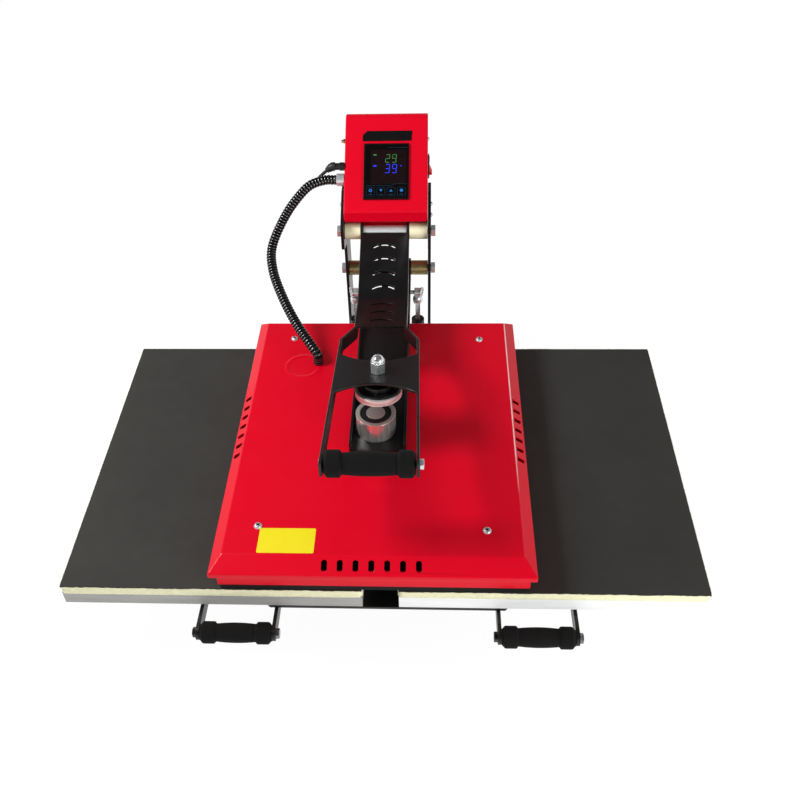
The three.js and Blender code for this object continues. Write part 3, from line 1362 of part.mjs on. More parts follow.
function addLead() {
  const route = leadRoute();
  const length = route.getLength();
  const shape = new THREE.Shape();
  for (let k = 0; k < LEAD_SIDES; k++) {
    const angle = (2 * Math.PI * k) / LEAD_SIDES;
    const place = [LEAD_RADIUS * Math.cos(angle), LEAD_RADIUS * Math.sin(angle)];
    if (k === 0) {
      shape.moveTo(...place);
    } else {
      shape.lineTo(...place);
    }
  }
  const steps = Math.round(length / (LEAD_STEP_SHARE * 2 * LEAD_RADIUS));
  const geometry = new THREE.ExtrudeGeometry(shape, { steps, extrudePath: route, bevelEnabled: false });
  add("magnet_lead", outward(geometry), rubber);
  console.log(`lead ${length.toFixed(1)} mm`);
}

// The same closed geometry with its faces pointing out
function outward(geometry) {
  if (solid(geometry).volume() > 0) {
    return geometry;
  }
  const bare = geometry.index ? geometry.toNonIndexed() : geometry;
  const values = bare.attributes.position.array;
  for (let i = 0; i < values.length; i += 9) {
    for (let k = 0; k < 3; k++) {
      const kept = values[i + 3 + k];
      values[i + 3 + k] = values[i + 6 + k];
      values[i + 6 + k] = kept;
    }
  }
  return bare;
}

addBase();
addRunners();
addUprights();
addShaft("top", TOP_SHAFT_RADIUS, TOP_BUSH_RADIUS, LEVER_WIDTH / 2, TOP_SHAFT_Y, TOP_SHAFT_Z, nylon);
addShaft("lower", LOWER_SHAFT_RADIUS, LOWER_BUSH_RADIUS, ARM_WIDTH / 2, LOWER_SHAFT_Y, LOWER_SHAFT_Z, bronze);
addTables();
addHandles();
addHeadBox();
addHeadArm();
addMagnet();
addLever();
addCrankAndLink();
addGasSprings();
addBoxShell();
addDisplay();
addRocker();
addGlands();
addHose();
addLead();

const frontY = HANDLE_Y - HANDLE_COLLAR_RADIUS;
const rearY = boxRear + SEAT + INLET_RIM;
press.position.y = -(frontY + rearY) / 2;
console.log(`origin ${(-press.position.y).toFixed(3)} mm behind the front edge of the tables`);

export default press;
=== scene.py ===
"""Looks of a flat heat press with a hinged head, a magnetic latch and a sliding pair of tables.

Everything is in metres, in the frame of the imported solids: +X to the operator's right, +Y from the
operator to the uprights, +Z up. Drawing sizes are written in millimetres from the front edge of the
tables, and at() brings them into that frame.
"""
import json
import logging
import math
from dataclasses import dataclass, field
from enum import Enum
from typing import Callable, Sequence

import bmesh
import bpy
import numpy as np
from mathutils import Matrix, Vector


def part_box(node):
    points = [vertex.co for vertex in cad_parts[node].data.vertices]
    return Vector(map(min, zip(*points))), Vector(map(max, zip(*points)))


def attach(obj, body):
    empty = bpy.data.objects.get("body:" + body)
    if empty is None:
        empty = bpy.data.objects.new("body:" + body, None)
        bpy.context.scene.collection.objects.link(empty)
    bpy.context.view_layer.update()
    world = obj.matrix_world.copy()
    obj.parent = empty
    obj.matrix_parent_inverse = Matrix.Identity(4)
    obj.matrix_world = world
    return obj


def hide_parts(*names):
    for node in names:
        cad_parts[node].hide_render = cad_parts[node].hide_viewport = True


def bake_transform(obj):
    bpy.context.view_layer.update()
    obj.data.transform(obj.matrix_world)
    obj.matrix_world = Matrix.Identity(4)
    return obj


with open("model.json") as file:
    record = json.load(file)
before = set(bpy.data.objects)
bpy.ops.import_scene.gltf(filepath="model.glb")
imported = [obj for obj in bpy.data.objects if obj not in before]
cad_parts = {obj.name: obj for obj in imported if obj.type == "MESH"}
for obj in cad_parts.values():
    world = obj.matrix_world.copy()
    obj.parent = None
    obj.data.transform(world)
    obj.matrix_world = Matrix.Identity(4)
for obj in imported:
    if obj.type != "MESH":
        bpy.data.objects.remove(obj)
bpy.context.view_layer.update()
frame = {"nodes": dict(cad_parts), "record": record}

LOG = logging.getLogger("heat_press")
MM = 0.001
FRONT_EDGE = -0.334016
HEAD_X = -9.0
BODY_OF = {n: b for b, nodes in frame["record"]["behaviour"]["bodies"].items() for n in nodes}
SLOT_OF = {s["node"]: s["material_slot"] for s in frame["record"]["subparts"]}
Triple = tuple[float, float, float]
Colour = Triple
Outline = Sequence[tuple[float, float]]
Socket = bpy.types.NodeSocket
Build = bmesh.types.BMesh
FaceTest = Callable[[Vector, Vector], bool]


class Side(Enum):
    """The operator's left or right."""

    LEFT = "left"
    RIGHT = "right"

    @property
    def sign(self) -> float:
        """-1 on the left, where X is less, and 1 on the right."""
        return -1.0 if self is Side.LEFT else 1.0


class End(Enum):
    """The operator's end of the base, or the end under the uprights."""

    FRONT = "front"
    REAR = "rear"


def at(x: float, y: float, z: float) -> Vector:
    """A drawing place, in millimetres from the front edge of the tables, as a place in metres.

    Args:
        x: Millimetres to the operator's right of the tables' middle.
        y: Millimetres behind the front edge of the tables.
        z: Millimetres above the bench.

    Returns:
        The same place in the frame of the solids.
    """
    return Vector((x * MM, y * MM + FRONT_EDGE, z * MM))


class Wiring:
    """A node tree, with short ways to add and join its nodes."""

    def __init__(self, tree: bpy.types.NodeTree) -> None:
        """Takes the tree that the nodes go into."""
        self.tree = tree

    def put(self, value: object, target: Socket) -> None:
        """Links a socket to an input, or sets the input to a plain value.

        Args:
            value: The socket or the plain value.
            target: The input.
        """
        if isinstance(value, Socket):
            self.tree.links.new(value, target)
        else:
            target.default_value = value

    def add(self, kind: str, inputs: dict | None = None, **settings: object) -> bpy.types.Node:
        """Adds one node.

        Args:
            kind: The node's type.
            inputs: Values or sockets for its inputs, by name or index.
            **settings: Its plain properties, set before its inputs.

        Returns:
            The node.
        """
        node = self.tree.nodes.new(kind)
        for key, value in settings.items():
            setattr(node, key, value)
        for key, value in (inputs or {}).items():
            self.put(value, node.inputs[key])
        return node

    def math(self, operation: str, a: object, b: object = 0.0) -> Socket:
        """Works out one value from two numbers or sockets.

        Args:
            operation: The Math node's operation.
            a: First value.
            b: Second value.

        Returns:
            The result's socket.
        """
        return self.add("ShaderNodeMath", {0: a, 1: b}, operation=operation).outputs[0]

    def ramp(self, value: Socket, start: Sequence[object], end: Sequence[object] = (0.0, 1.0)) -> Socket:
        """A smooth step.

        Args:
            value: What it depends on.
            start: Where the step begins and where it ends.
            end: Its level before and after.

        Returns:
            The step's socket.
        """
        levels = {
            "Value": value, "From Min": start[0], "From Max": start[1], "To Min": end[0], "To Max": end[1],
        }
        return self.add("ShaderNodeMapRange", levels, interpolation_type="SMOOTHSTEP").outputs["Result"]


class Graph(Wiring):
    """The nodes of one material: a principled shader and patterns on Object coordinates."""

    QUARTER, THREE_QUARTERS = 0.25, 0.75

    def __init__(self, name: str) -> None:
        """Starts a material of the given name.

        Args:
            name: The name.
        """
        self.material = bpy.data.materials.new(name)
        self.material.use_nodes = True
        super().__init__(self.material.node_tree)
        self.tree.nodes.clear()
        shader = self.add("ShaderNodeBsdfPrincipled")
        self.surface = shader.inputs
        self.add("ShaderNodeOutputMaterial", {"Surface": shader.outputs["BSDF"]})
        self.place = self.add("ShaderNodeTexCoord").outputs["Object"]

    def axes(self) -> bpy.types.NodeOutputs:
        """The Object coordinates as three values, for X, Y and Z."""
        return self.add("ShaderNodeSeparateXYZ", {0: self.place}).outputs

    def noise(self, size: float, detail: float = 2.0, stretch: Triple = (1.0, 1.0, 1.0)) -> Socket:
        """Adds a noise pattern.

        Args:
            size: Rough size of its features, in metres.
            detail: Octaves of the noise.
            stretch: How many times denser it is along X, Y and Z.

        Returns:
            The noise's factor.
        """
        mapping = self.add("ShaderNodeMapping", {"Vector": self.place, "Scale": stretch})
        node = self.add(
            "ShaderNodeTexNoise", {"Vector": mapping.outputs["Vector"], "Scale": 1.0 / size, "Detail": detail}
        )
        return node.outputs[0]

    def pores(self, size: float) -> Socket:
        """The distance from the middles of cells of the given size."""
        inputs = {"Vector": self.place, "Scale": 1.0 / size}
        return self.add("ShaderNodeTexVoronoi", inputs).outputs["Distance"]

    def spread(self, value: Socket, low: float, high: float) -> Socket:
        """Brings the middle half of a pattern to a range.

        Args:
            value: A pattern from 0 to 1.
            low: Result where the pattern is a quarter.
            high: Result where it is three quarters.

        Returns:
            The range's socket.
        """
        levels = {
            "Value": value, "From Min": self.QUARTER, "From Max": self.THREE_QUARTERS, "To Min": low,
            "To Max": high,
        }
        return self.add("ShaderNodeMapRange", levels).outputs["Result"]

    def between(self, factor: Socket, a: Colour, b: Colour) -> Socket:
        """Blends two colours by a factor.

        Args:
            factor: Share of the second colour.
            a: First colour.
            b: Second colour.

        Returns:
            The blend's colour socket.
        """
        node = self.add("ShaderNodeMix", {"Factor": factor}, data_type="RGBA")
        for socket, colour in zip([s for s in node.inputs if s.type == "RGBA"], (a, b)):
            socket.default_value = (*colour, 1.0)
        return [s for s in node.outputs if s.type == "RGBA"][0]

    def relief(self, height: Socket, depth: float, below: Socket | None = None) -> Socket:
        """Adds a bump of the given depth.

        Args:
            height: The pattern.
            depth: Depth of the relief in metres.
            below: Normal of a coarser relief under it, if any.

        Returns:
            The normal's socket.
        """
        inputs = {"Height": height, "Distance": depth}
        if below is not None:
            inputs["Normal"] = below
        return self.add("ShaderNodeBump", inputs).outputs["Normal"]


@dataclass(frozen=True)
class Finish:
    """A finish: its colour, its gloss and the fine detail of its surface."""

    name: str
    colour: Colour
    roughness: float = 0.5
    metallic: float = 0.0
    specular: float = 0.5
    coat: float = 0.0
    coat_roughness: float = 0.1
    sheen: float = 0.0
    mottle: float = 0.05
    mottle_size: float = 0.05
    smear: float = 0.05
    smear_size: float = 0.02
    grain: float = 0.00002
    grain_size: float = 0.0008
    stretch: Triple = (1.0, 1.0, 1.0)
    ripple: float = 0.0
    ripple_size: float = 0.004
    least_roughness: float = 0.02
    mottle_octaves: float = 4.0
    smear_octaves: float = 3.0

    def shade(self, share: float) -> Colour:
        """The colour, lighter or darker by a share."""
        return tuple(min(1.0, c * share) for c in self.colour)

    def tint(self, graph: Graph, pattern: Socket) -> None:
        """Mottles the colour by a pattern from 0 to 1."""
        dark, light = self.shade(1.0 - self.mottle), self.shade(1.0 + self.mottle)
        graph.put(graph.between(pattern, dark, light), graph.surface["Base Color"])

    def smudge(self, graph: Graph) -> None:
        """Makes the gloss a little uneven, as handling does.

        Args:
            graph: The material's nodes.
        """
        smear = graph.noise(self.smear_size, self.smear_octaves, self.stretch)
        low = max(self.least_roughness, self.roughness - self.smear)
        graph.put(graph.spread(smear, low, self.roughness + self.smear), graph.surface["Roughness"])

    def set_surface(self, graph: Graph) -> None:
        """Sets what is the same all over the surface.

        Args:
            graph: The material's nodes.
        """
        for label, value in (
            ("Metallic", self.metallic), ("Specular IOR Level", self.specular), ("Coat Weight", self.coat),
            ("Coat Roughness", self.coat_roughness), ("Sheen Weight", self.sheen),
        ):
            graph.surface[label].default_value = value

    def dress(self, graph: Graph) -> None:
        """Adds what varies over the surface.

        Args:
            graph: The material's nodes.
        """
        mottle = graph.noise(self.mottle_size, self.mottle_octaves, self.stretch)
        self.tint(graph, graph.spread(mottle, 0.0, 1.0))
        self.smudge(graph)
        normal = graph.relief(graph.noise(self.ripple_size), self.ripple) if self.ripple > 0.0 else None
        grain = graph.noise(self.grain_size, stretch=self.stretch)
        graph.put(graph.relief(grain, self.grain, normal), graph.surface["Normal"])

    def make(self) -> bpy.types.Material:
        """Makes the material at its first use and shares it from then on.

        Returns:
            The material.
        """
        found = bpy.data.materials.get(self.name)
        if found is not None:
            return found
        graph = Graph(self.name)
        self.set_surface(graph)
        self.dress(graph)
        return graph.material


@dataclass(frozen=True)
class TurnedFinish(Finish):
    """Metal turned on a lathe: fine rings round an upright axis."""

    axis_x: float = 0.0
    axis_y: float = 0.0
    ring_pitch: float = 0.0008
    ring_depth: float = 0.00003
    ring_drift: float = 4.0

    def dress(self, graph: Graph) -> None:
        """Adds the rings to the plain finish.

        Args:
            graph: The material's nodes.
        """
        axes = graph.axes()
        squares = []
        for axis, centre in zip(axes, (self.axis_x, self.axis_y)):
            away = graph.math("SUBTRACT", axis, centre)
            squares.append(graph.math("MULTIPLY", away, away))
        away = graph.math("SQRT", graph.math("ADD", *squares))
        turns = graph.math("MULTIPLY", away, 2.0 * math.pi / self.ring_pitch)
        drift = graph.math("MULTIPLY", graph.noise(self.smear_size), self.ring_drift)
        rings = graph.math("SINE", graph.math("ADD", turns, drift))
        tone = graph.math("MULTIPLY", graph.math("ADD", rings, 1.0), 0.5)
        self.tint(graph, graph.spread(tone, 0.0, 1.0))
        self.smudge(graph)
        graph.put(graph.relief(rings, self.ring_depth), graph.surface["Normal"])


@dataclass(frozen=True)
class SpongeFinish(Finish):
    """Open cell sponge: pores in a pale foam."""

    pore_size: float = 0.0012
    pore_depth: float = 0.0003

    def dress(self, graph: Graph) -> None:
        """Adds the pores to the plain finish.

        Args:
            graph: The material's nodes.
        """
        pores = graph.pores(self.pore_size)
        stain = graph.noise(self.mottle_size, self.mottle_octaves)
        tone = graph.math("MULTIPLY", graph.math("ADD", pores, stain), 0.5)
        self.tint(graph, graph.spread(tone, 0.0, 1.0))
        graph.put(self.roughness, graph.surface["Roughness"])
        graph.put(graph.relief(pores, self.pore_depth), graph.surface["Normal"])


@dataclass(frozen=True)
class GlowFinish(Finish):
    """A lit mark of the display, with the slight unevenness of its lamp."""

    strength: float = 1.0
    lamp_size: float = 0.004
    lamp_dip: float = 0.85

    def dress(self, graph: Graph) -> None:
        """Adds the light to the plain finish.

        Args:
            graph: The material's nodes.
        """
        super().dress(graph)
        lamp = graph.spread(graph.noise(self.lamp_size, 1.0), 0.0, 1.0)
        glow = graph.between(lamp, self.shade(self.lamp_dip), self.shade(1.0))
        graph.put(glow, graph.surface["Emission Color"])
        graph.put(self.strength, graph.surface["Emission Strength"])


@dataclass(frozen=True)
class FoldHighlightFinish(Finish):
    """Paint with a painted highlight along a fold: a pale line that grows towards the rear, in patches."""

    # The pale colour of the painted highlight, and where along Y it starts and becomes full.
    highlight_colour: Colour = (1.0, 1.0, 1.0)
    highlight_front: float = 0.0
    highlight_rear: float = 1.0
    patch_size: float = 0.03
    patch_least: float = 0.55

    def dress(self, graph: Graph) -> None:
        """Adds the painted highlight to the plain finish.

        Args:
            graph: The material's nodes.
        """
        super().dress(graph)
        levels = {"Value": graph.axes()[1], "From Min": self.highlight_front, "From Max": self.highlight_rear}
        depth = graph.add("ShaderNodeMapRange", levels).outputs["Result"]
        patches = graph.spread(graph.noise(self.patch_size, self.smear_octaves), self.patch_least, 1.0)
        share = graph.math("MULTIPLY", depth, patches)
        graph.put(graph.between(share, self.colour, self.highlight_colour), graph.surface["Base Color"])


MIDDLE_X = HEAD_X * MM
FRAME_X = -7.1 * MM
MAGNET_X = -12.5 * MM
MAGNET_Y = 235.0 * MM + FRONT_EDGE
ARMATURE_X = -7.0 * MM
LATCHED_Y = 239.0 * MM + FRONT_EDGE
RAISED_Y = 231.5 * MM + FRONT_EDGE

RED_PAINT = Finish(
    "red_powder_coat", (0.745, 0.0004, 0.0165), 0.34, specular=0.13, coat=0.15, coat_roughness=0.05,
    mottle=0.03, mottle_size=0.12, smear=0.04, smear_size=0.05, grain=0.00001, grain_size=0.001,
)
# Painted highlight: the cover's right upper fold is painted pale where lamps glint along it, stronger towards
# the rear.
RED_FOLD_HIGHLIGHT = FoldHighlightFinish(
    "painted_highlight_red_fold", (0.78, 0.003, 0.02), 0.3, specular=0.3, coat=0.3, coat_roughness=0.05,
    grain=0.00001, grain_size=0.001, highlight_colour=(1.0, 0.74, 0.72), highlight_front=-0.22, highlight_rear=-0.13,
)
BLACK_PAINT = Finish(
    "black_powder_coat", (0.0065, 0.0065, 0.007), 0.36, specular=0.38, mottle=0.12, mottle_size=0.03,
    smear=0.06, smear_size=0.03, grain=0.000025, grain_size=0.0007,
)
# Painted highlight: the upper edges of the fork's plates are painted a lighter grey where light catches them.
BLACK_EDGE_HIGHLIGHT = Finish(
    "painted_highlight_black_edge", (0.03, 0.031, 0.034), 0.3, specular=0.5, mottle=0.3, mottle_size=0.02,
    smear=0.06, smear_size=0.02, grain=0.00002, grain_size=0.0007,
)
# One aluminium twice: the left plate painted darker as painted shade, the right plate painted paler as
# painted light.
TABLE_SHADED = Finish(
    "left_table_aluminium_painted_shade", (0.4, 0.395, 0.38), 0.55, 0.25, mottle=0.14, mottle_size=0.02, smear=0.1,
    smear_size=0.008, grain=0.00004, grain_size=0.0012, stretch=(0.25, 0.25, 4.0),
)
TABLE_LIT = Finish(
    "right_table_aluminium_painted_light", (0.93, 0.94, 0.94), 0.5, 0.15, mottle=0.05, mottle_size=0.02, smear=0.08,
    smear_size=0.008, grain=0.00004, grain_size=0.0012, stretch=(0.25, 0.25, 4.0),
)
PLATEN_COAT = Finish(
    "platen_non_stick_coat", (0.004, 0.004, 0.004), 0.6, specular=0.15, mottle=0.15, mottle_size=0.02,
    grain=0.00003, grain_size=0.0008,
)
GROUND_STEEL = Finish(
    "ground_steel", (0.5, 0.5, 0.49), 0.3, 1.0, mottle=0.12, mottle_size=0.01, smear=0.1,
    grain=0.00002, grain_size=0.001, stretch=(0.2, 3.0, 3.0),
)
TURNED_STEEL = TurnedFinish(
    "turned_magnet_steel", (0.6, 0.57, 0.53), 0.3, 0.55, mottle=0.16, smear=0.05, smear_size=0.02,
    axis_x=MAGNET_X, axis_y=MAGNET_Y,
)
POT_SIDE = Finish(
    "drawn_magnet_shell", (0.95, 0.84, 0.68), 0.2, 0.8, mottle=0.5, mottle_size=0.007, smear=0.16,
    smear_size=0.004, grain=0.00001, grain_size=0.001, stretch=(1.0, 1.0, 0.03),
)
TURNED_ARMATURE = TurnedFinish(
    "turned_armature_steel", (0.8, 0.77, 0.74), 0.3, 0.5, mottle=0.14, smear=0.05, smear_size=0.02,
    axis_x=ARMATURE_X, axis_y=RAISED_Y,
)
# Black oxide is the armature top's own colour; on the left bracket bolt this black is painted shade.
BLACK_OXIDE_AND_SHADE = Finish(
    "black_oxide_steel_and_painted_shade", (0.012, 0.013, 0.014), 0.3, 0.35, mottle=0.15, mottle_size=0.008,
    grain=0.00002, grain_size=0.0009,
)
ZINC = Finish(
    "bright_zinc_plate", (0.78, 0.81, 0.82), 0.24, 0.6, mottle=0.1, mottle_size=0.02, smear=0.06,
    smear_size=0.01, grain=0.000006, grain_size=0.0012,
)
ACORN_ZINC = Finish(
    "polished_acorn_zinc", (0.8, 0.85, 0.84), 0.16, 0.85, mottle=0.25, mottle_size=0.004, smear=0.05,
    smear_size=0.003, grain=0.000004, grain_size=0.0008,
)
SLEEVE_ZINC = Finish(
    "pale_sleeve_zinc", (0.8, 0.83, 0.83), 0.3, 0.25, specular=0.7, mottle=0.04, mottle_size=0.02,
    smear=0.04, smear_size=0.01, grain=0.000004, grain_size=0.0012, stretch=(0.1, 1.0, 1.0),
)
BOLT_STEEL = Finish(
    "dark_bolt_steel", (0.2, 0.205, 0.21), 0.28, 0.8, mottle=0.2, mottle_size=0.004, smear=0.08,
    smear_size=0.002, grain=0.00001, grain_size=0.0008,
)
SCREW_ZINC = Finish(
    "worn_zinc_screw", (0.72, 0.74, 0.76), 0.36, 0.6, mottle=0.14, mottle_size=0.003, smear=0.08,
    smear_size=0.002, grain=0.00002, grain_size=0.0008,
)
RECESS = Finish(
    "screw_recess_shade", (0.03, 0.03, 0.032), 0.5, 0.6, mottle=0.1, mottle_size=0.002,
    grain=0.00002, grain_size=0.0006,
)
BRONZE = Finish(
    "turned_bronze", (0.46, 0.36, 0.16), 0.34, 0.75, mottle=0.12, mottle_size=0.01, smear=0.06,
    grain=0.00003, grain_size=0.001, stretch=(4.0, 0.3, 0.3),
)
NYLON = Finish(
    "cream_cast_nylon", (1.0, 0.94, 0.64), 0.3, mottle=0.03, mottle_size=0.02, smear=0.06,
    grain=0.00004, grain_size=0.0012, stretch=(4.0, 0.3, 0.3),
)
PAD_RUBBER = Finish(
    "charcoal_pad_rubber", (0.0415, 0.0405, 0.037), 0.86, specular=0.25, mottle=0.09, mottle_size=0.09,
    smear=0.06, smear_size=0.02, grain=0.00009, grain_size=0.0011, ripple=0.00012, ripple_size=0.03,
)
SPONGE = SpongeFinish("cream_sponge", (0.97, 0.92, 0.6), 0.95, specular=0.2, mottle=0.16, mottle_size=0.01)
FOAM = SpongeFinish(
    "black_grip_foam", (0.0065, 0.0062, 0.006), 0.9, specular=0.15, sheen=0.02, mottle=0.2,
    mottle_size=0.006, pore_size=0.0009, pore_depth=0.00015,
)
RUBBER = Finish(
    "black_rubber", (0.011, 0.011, 0.011), 0.55, mottle=0.1, mottle_size=0.01, grain=0.00003,
    grain_size=0.0008,
)
BLACK_PLASTIC = Finish(
    "black_moulded_plastic", (0.008, 0.008, 0.0085), 0.4, mottle=0.08, mottle_size=0.01,
    grain=0.00003, grain_size=0.0006,
)
HOSE_PLASTIC = Finish(
    "black_hose_plastic", (0.002, 0.002, 0.0022), 0.45, specular=0.15, mottle=0.1, mottle_size=0.01,
    smear=0.03, smear_size=0.006, grain=0.000005, grain_size=0.0008,
)
# The crests are glossier, and are painted lighter than the rest of the hose as a painted highlight.
HOSE_CREST_HIGHLIGHT = Finish(
    "glossy_hose_crest_painted_highlight", (0.012, 0.0125, 0.0135), 0.2, specular=1.0, coat=1.0, coat_roughness=0.16,
    mottle=0.2, mottle_size=0.01, smear=0.03, smear_size=0.006, grain=0.000005, grain_size=0.0008,
)
WINDING_RESIN = Finish(
    "magnet_winding_resin", (0.006, 0.006, 0.006), 0.5, mottle=0.2, mottle_size=0.004,
    grain=0.00008, grain_size=0.0015,
)
GLASS = Finish(
    "smoked_display_window", (0.0035, 0.003, 0.0032), 0.12, specular=0.3, mottle=0.1, smear=0.03,
    smear_size=0.02, grain=0.000002, grain_size=0.002,
)
DISPLAY_CASE = Finish(
    "display_case_plastic", (0.004, 0.0035, 0.0037), 0.3, specular=0.35, mottle=0.08, mottle_size=0.01,
    grain=0.00002, grain_size=0.0006,
)
LCD_WINDOW = Finish(
    "display_field", (0.011, 0.005, 0.0055), 0.2, specular=0.3, mottle=0.2, mottle_size=0.008,
    smear=0.03, grain=0.000002, grain_size=0.002,
)
BADGE = Finish(
    "blank_badge_black", (0.006, 0.006, 0.006), 0.22, specular=0.5, mottle=0.1, mottle_size=0.01,
    grain=0.00001, grain_size=0.001,
)
DECAL = Finish(
    "blank_yellow_decal", (0.93, 0.78, 0.01), 0.32, mottle=0.02, mottle_size=0.02, smear=0.06,
    grain=0.00001, grain_size=0.0015,
)
# Painted shade: the board is painted near black so that the cover's vents look dark inside.
BOARD_PAINTED_SHADE = Finish(
    "insulation_board_painted_shade", (0.02, 0.018, 0.017), 0.9, specular=0.1, mottle=0.2, mottle_size=0.006,
    grain=0.0002, grain_size=0.002,
)
RED_PLASTIC = Finish(
    "red_rocker_plastic", (0.78, 0.003, 0.004), 0.5, specular=0.1, mottle=0.04, grain=0.00001,
    grain_size=0.001,
)
BRASS_PIN = Finish(
    "inlet_pin_brass", (0.6, 0.5, 0.25), 0.3, 1.0, mottle=0.08, mottle_size=0.003,
    grain=0.00001, grain_size=0.0008,
)
GREEN_LIGHT = GlowFinish("green_digit_light", (0.03, 0.15, 0.035), 0.5, strength=0.7)
BLUE_LIGHT = GlowFinish("blue_digit_light", (0.012, 0.03, 0.7), 0.5, strength=0.8)
CYAN_LIGHT = GlowFinish("cyan_key_light", (0.003, 0.12, 0.36), 0.5, strength=0.5)
DIM_LIGHT = GlowFinish("dim_key_line", (0.003, 0.03, 0.06), 0.5, strength=0.5)


def plain_mesh(name: str, build: Build, smooth_below: float = 35.0) -> bpy.types.Mesh:
    """Turns built faces into a mesh that is smooth except across sharp edges.

    Args:
        name: Name of the mesh.
        build: The faces, freed here.
        smooth_below: Edges that turn by more degrees than this stay sharp.

    Returns:
        The mesh.
    """
    bmesh.ops.recalc_face_normals(build, faces=build.faces[:])
    mesh = bpy.data.meshes.new(name)
    build.to_mesh(mesh)
    build.free()
    mesh.shade_smooth()
    mesh.set_sharp_from_angle(angle=math.radians(smooth_below))
    return mesh


def in_scene(name: str, data: bpy.types.ID) -> bpy.types.Object:
    """Puts a new object with the given data into the scene.

    Args:
        name: Name of the object.
        data: Its mesh, lamp or camera.

    Returns:
        The object.
    """
    thing = bpy.data.objects.new(name, data)
    bpy.context.scene.collection.objects.link(thing)
    return thing


def taken_off(carrier: bpy.types.Object) -> bpy.types.Mesh:
    """Turns what a carrier's modifiers make into a plain mesh, and removes the carrier.

    Args:
        carrier: An object with live modifiers.

    Returns:
        The mesh that they make.
    """
    depsgraph = bpy.context.evaluated_depsgraph_get()
    mesh = bpy.data.meshes.new_from_object(carrier.evaluated_get(depsgraph), depsgraph=depsgraph)
    carrier.modifiers.clear()
    bpy.data.objects.remove(carrier)
    return mesh


def dress_mesh(mesh: bpy.types.Mesh, finishes: Sequence[Finish], marks: Sequence[int] | None) -> None:
    """Gives a mesh its finishes.

    Args:
        mesh: The mesh.
        finishes: Finishes in the order of its material indices.
        marks: Which finish each face has, or None if all have the first.
    """
    mesh.materials.clear()
    for finish in finishes:
        mesh.materials.append(finish.make())
    if marks is not None:
        mesh.polygons.foreach_set("material_index", list(marks))


def fit_piece(
    name: str, mesh: bpy.types.Mesh, body: str, slot: str, finishes: Sequence[Finish], *stands_for: str,
    marks: Sequence[int] | None = None,
) -> bpy.types.Object:
    """Puts a finished mesh into the scene and on its body.

    Args:
        name: Name of the piece.
        mesh: Its mesh, already in place.
        body: The body that it moves with.
        slot: The record's material slot; not used.
        finishes: Finishes in the order of the mesh's material indices.
        *stands_for: Nodes of the solids that it replaces.
        marks: Which finish each face has, or None if all have the first.

    Returns:
        The object.
    """
    piece = in_scene(name, mesh)
    dress_mesh(mesh, finishes, marks)
    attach(piece, body)
    if stands_for:
        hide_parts(*stands_for)
    LOG.info("%s: %d faces on %s", name, len(mesh.polygons), body)
    return piece


def bridge(build: Build, low: Sequence[bmesh.types.BMVert], high: Sequence[bmesh.types.BMVert]) -> None:
    """Joins two closed rows of corners with a ring of faces.

    Args:
        build: Where the faces go.
        low: One row.
        high: The other row, of equal count.
    """
    for k in range(len(low)):
        after = (k + 1) % len(low)
        build.faces.new((low[k], low[after], high[after], high[k]))


def circle(radius: float, sides: int) -> list[tuple[float, float]]:
    """Corners of an even polygon, anticlockwise from +X."""
    angles = [2.0 * math.pi * k / sides for k in range(sides)]
    return [(radius * math.cos(a), radius * math.sin(a)) for a in angles]


def turned(profile: Outline, sides: int = 32) -> Build:
    """Turns a closed outline round the Z axis.

    Args:
        profile: Pairs of radius and height, from one end on the axis to the other.
        sides: Faces round the axis.

    Returns:
        The turned faces, closed at both ends.
    """
    build = bmesh.new()
    rings = [
        [build.verts.new((x, y, height)) for x, y in circle(radius, sides)] for radius, height in profile
    ]
    for low, high in zip(rings, rings[1:]):
        bridge(build, low, high)
    build.faces.new(list(reversed(rings[0])))
    build.faces.new(rings[-1])
    return build


def plate(outline: Outline, low: float, high: float) -> Build:
    """A flat plate with a given outline, from one height to another.

    Args:
        outline: Corners in X and Y, in order round the plate.
        low: Height of its underside.
        high: Height of its top.

    Returns:
        The plate's faces.
    """
    build = bmesh.new()
    under, over = ([build.verts.new((x, y, level)) for x, y in outline] for level in (low, high))
    build.faces.new(list(reversed(under)))
    build.faces.new(over)
    bridge(build, under, over)
    return build


def bar(left: float, front: float, right: float, rear: float) -> Outline:
    """Corners of a rectangle, anticlockwise."""
    return [(left, front), (right, front), (right, rear), (left, rear)]


def rounded(width: float, height: float, radius: float, steps: int = 5) -> Outline:
    """Corners of a rectangle with rounded corners, centred.

    Args:
        width: Size along X.
        height: Size along Y.
        radius: Corner radius.
        steps: Points of each corner, less one.

    Returns:
        The outline's points.
    """
    points = []
    for quarter, (sx, sy) in enumerate(((1, 1), (-1, 1), (-1, -1), (1, -1))):
        cx = sx * (width / 2 - radius)
        cy = sy * (height / 2 - radius)
        for k in range(steps + 1):
            angle = (quarter + k / steps) * math.pi / 2
            points.append((cx + radius * math.cos(angle), cy + radius * math.sin(angle)))
    return points


def joined(parts: Sequence[Build]) -> Build:
    """Puts the faces of several builds into one.

    Args:
        parts: The builds, freed here.

    Returns:
        One build with all their faces.
    """
    whole = bmesh.new()
    for part in parts:
        mesh = bpy.data.meshes.new("part")
        part.to_mesh(mesh)
        part.free()
        whole.from_mesh(mesh)
        bpy.data.meshes.remove(mesh)
    return whole


def set_down(
    build: Build, offset: Sequence[float] = (0.0, 0.0, 0.0), turn: Matrix | None = None, scale: float = 1.0,
) -> Build:
    """Scales, then turns, then moves a build.

    Args:
        build: The build.
        offset: How far it moves.
        turn: How it turns about the origin, if it does.
        scale: How many times larger it becomes.

    Returns:
        The same build.
    """
    verts = build.verts[:]
    if scale != 1.0:
        bmesh.ops.scale(build, verts=verts, vec=(scale, scale, scale))
    if turn is not None:
        bmesh.ops.rotate(build, verts=verts, cent=(0.0, 0.0, 0.0), matrix=turn)
    bmesh.ops.translate(build, verts=verts, vec=offset)
    return build


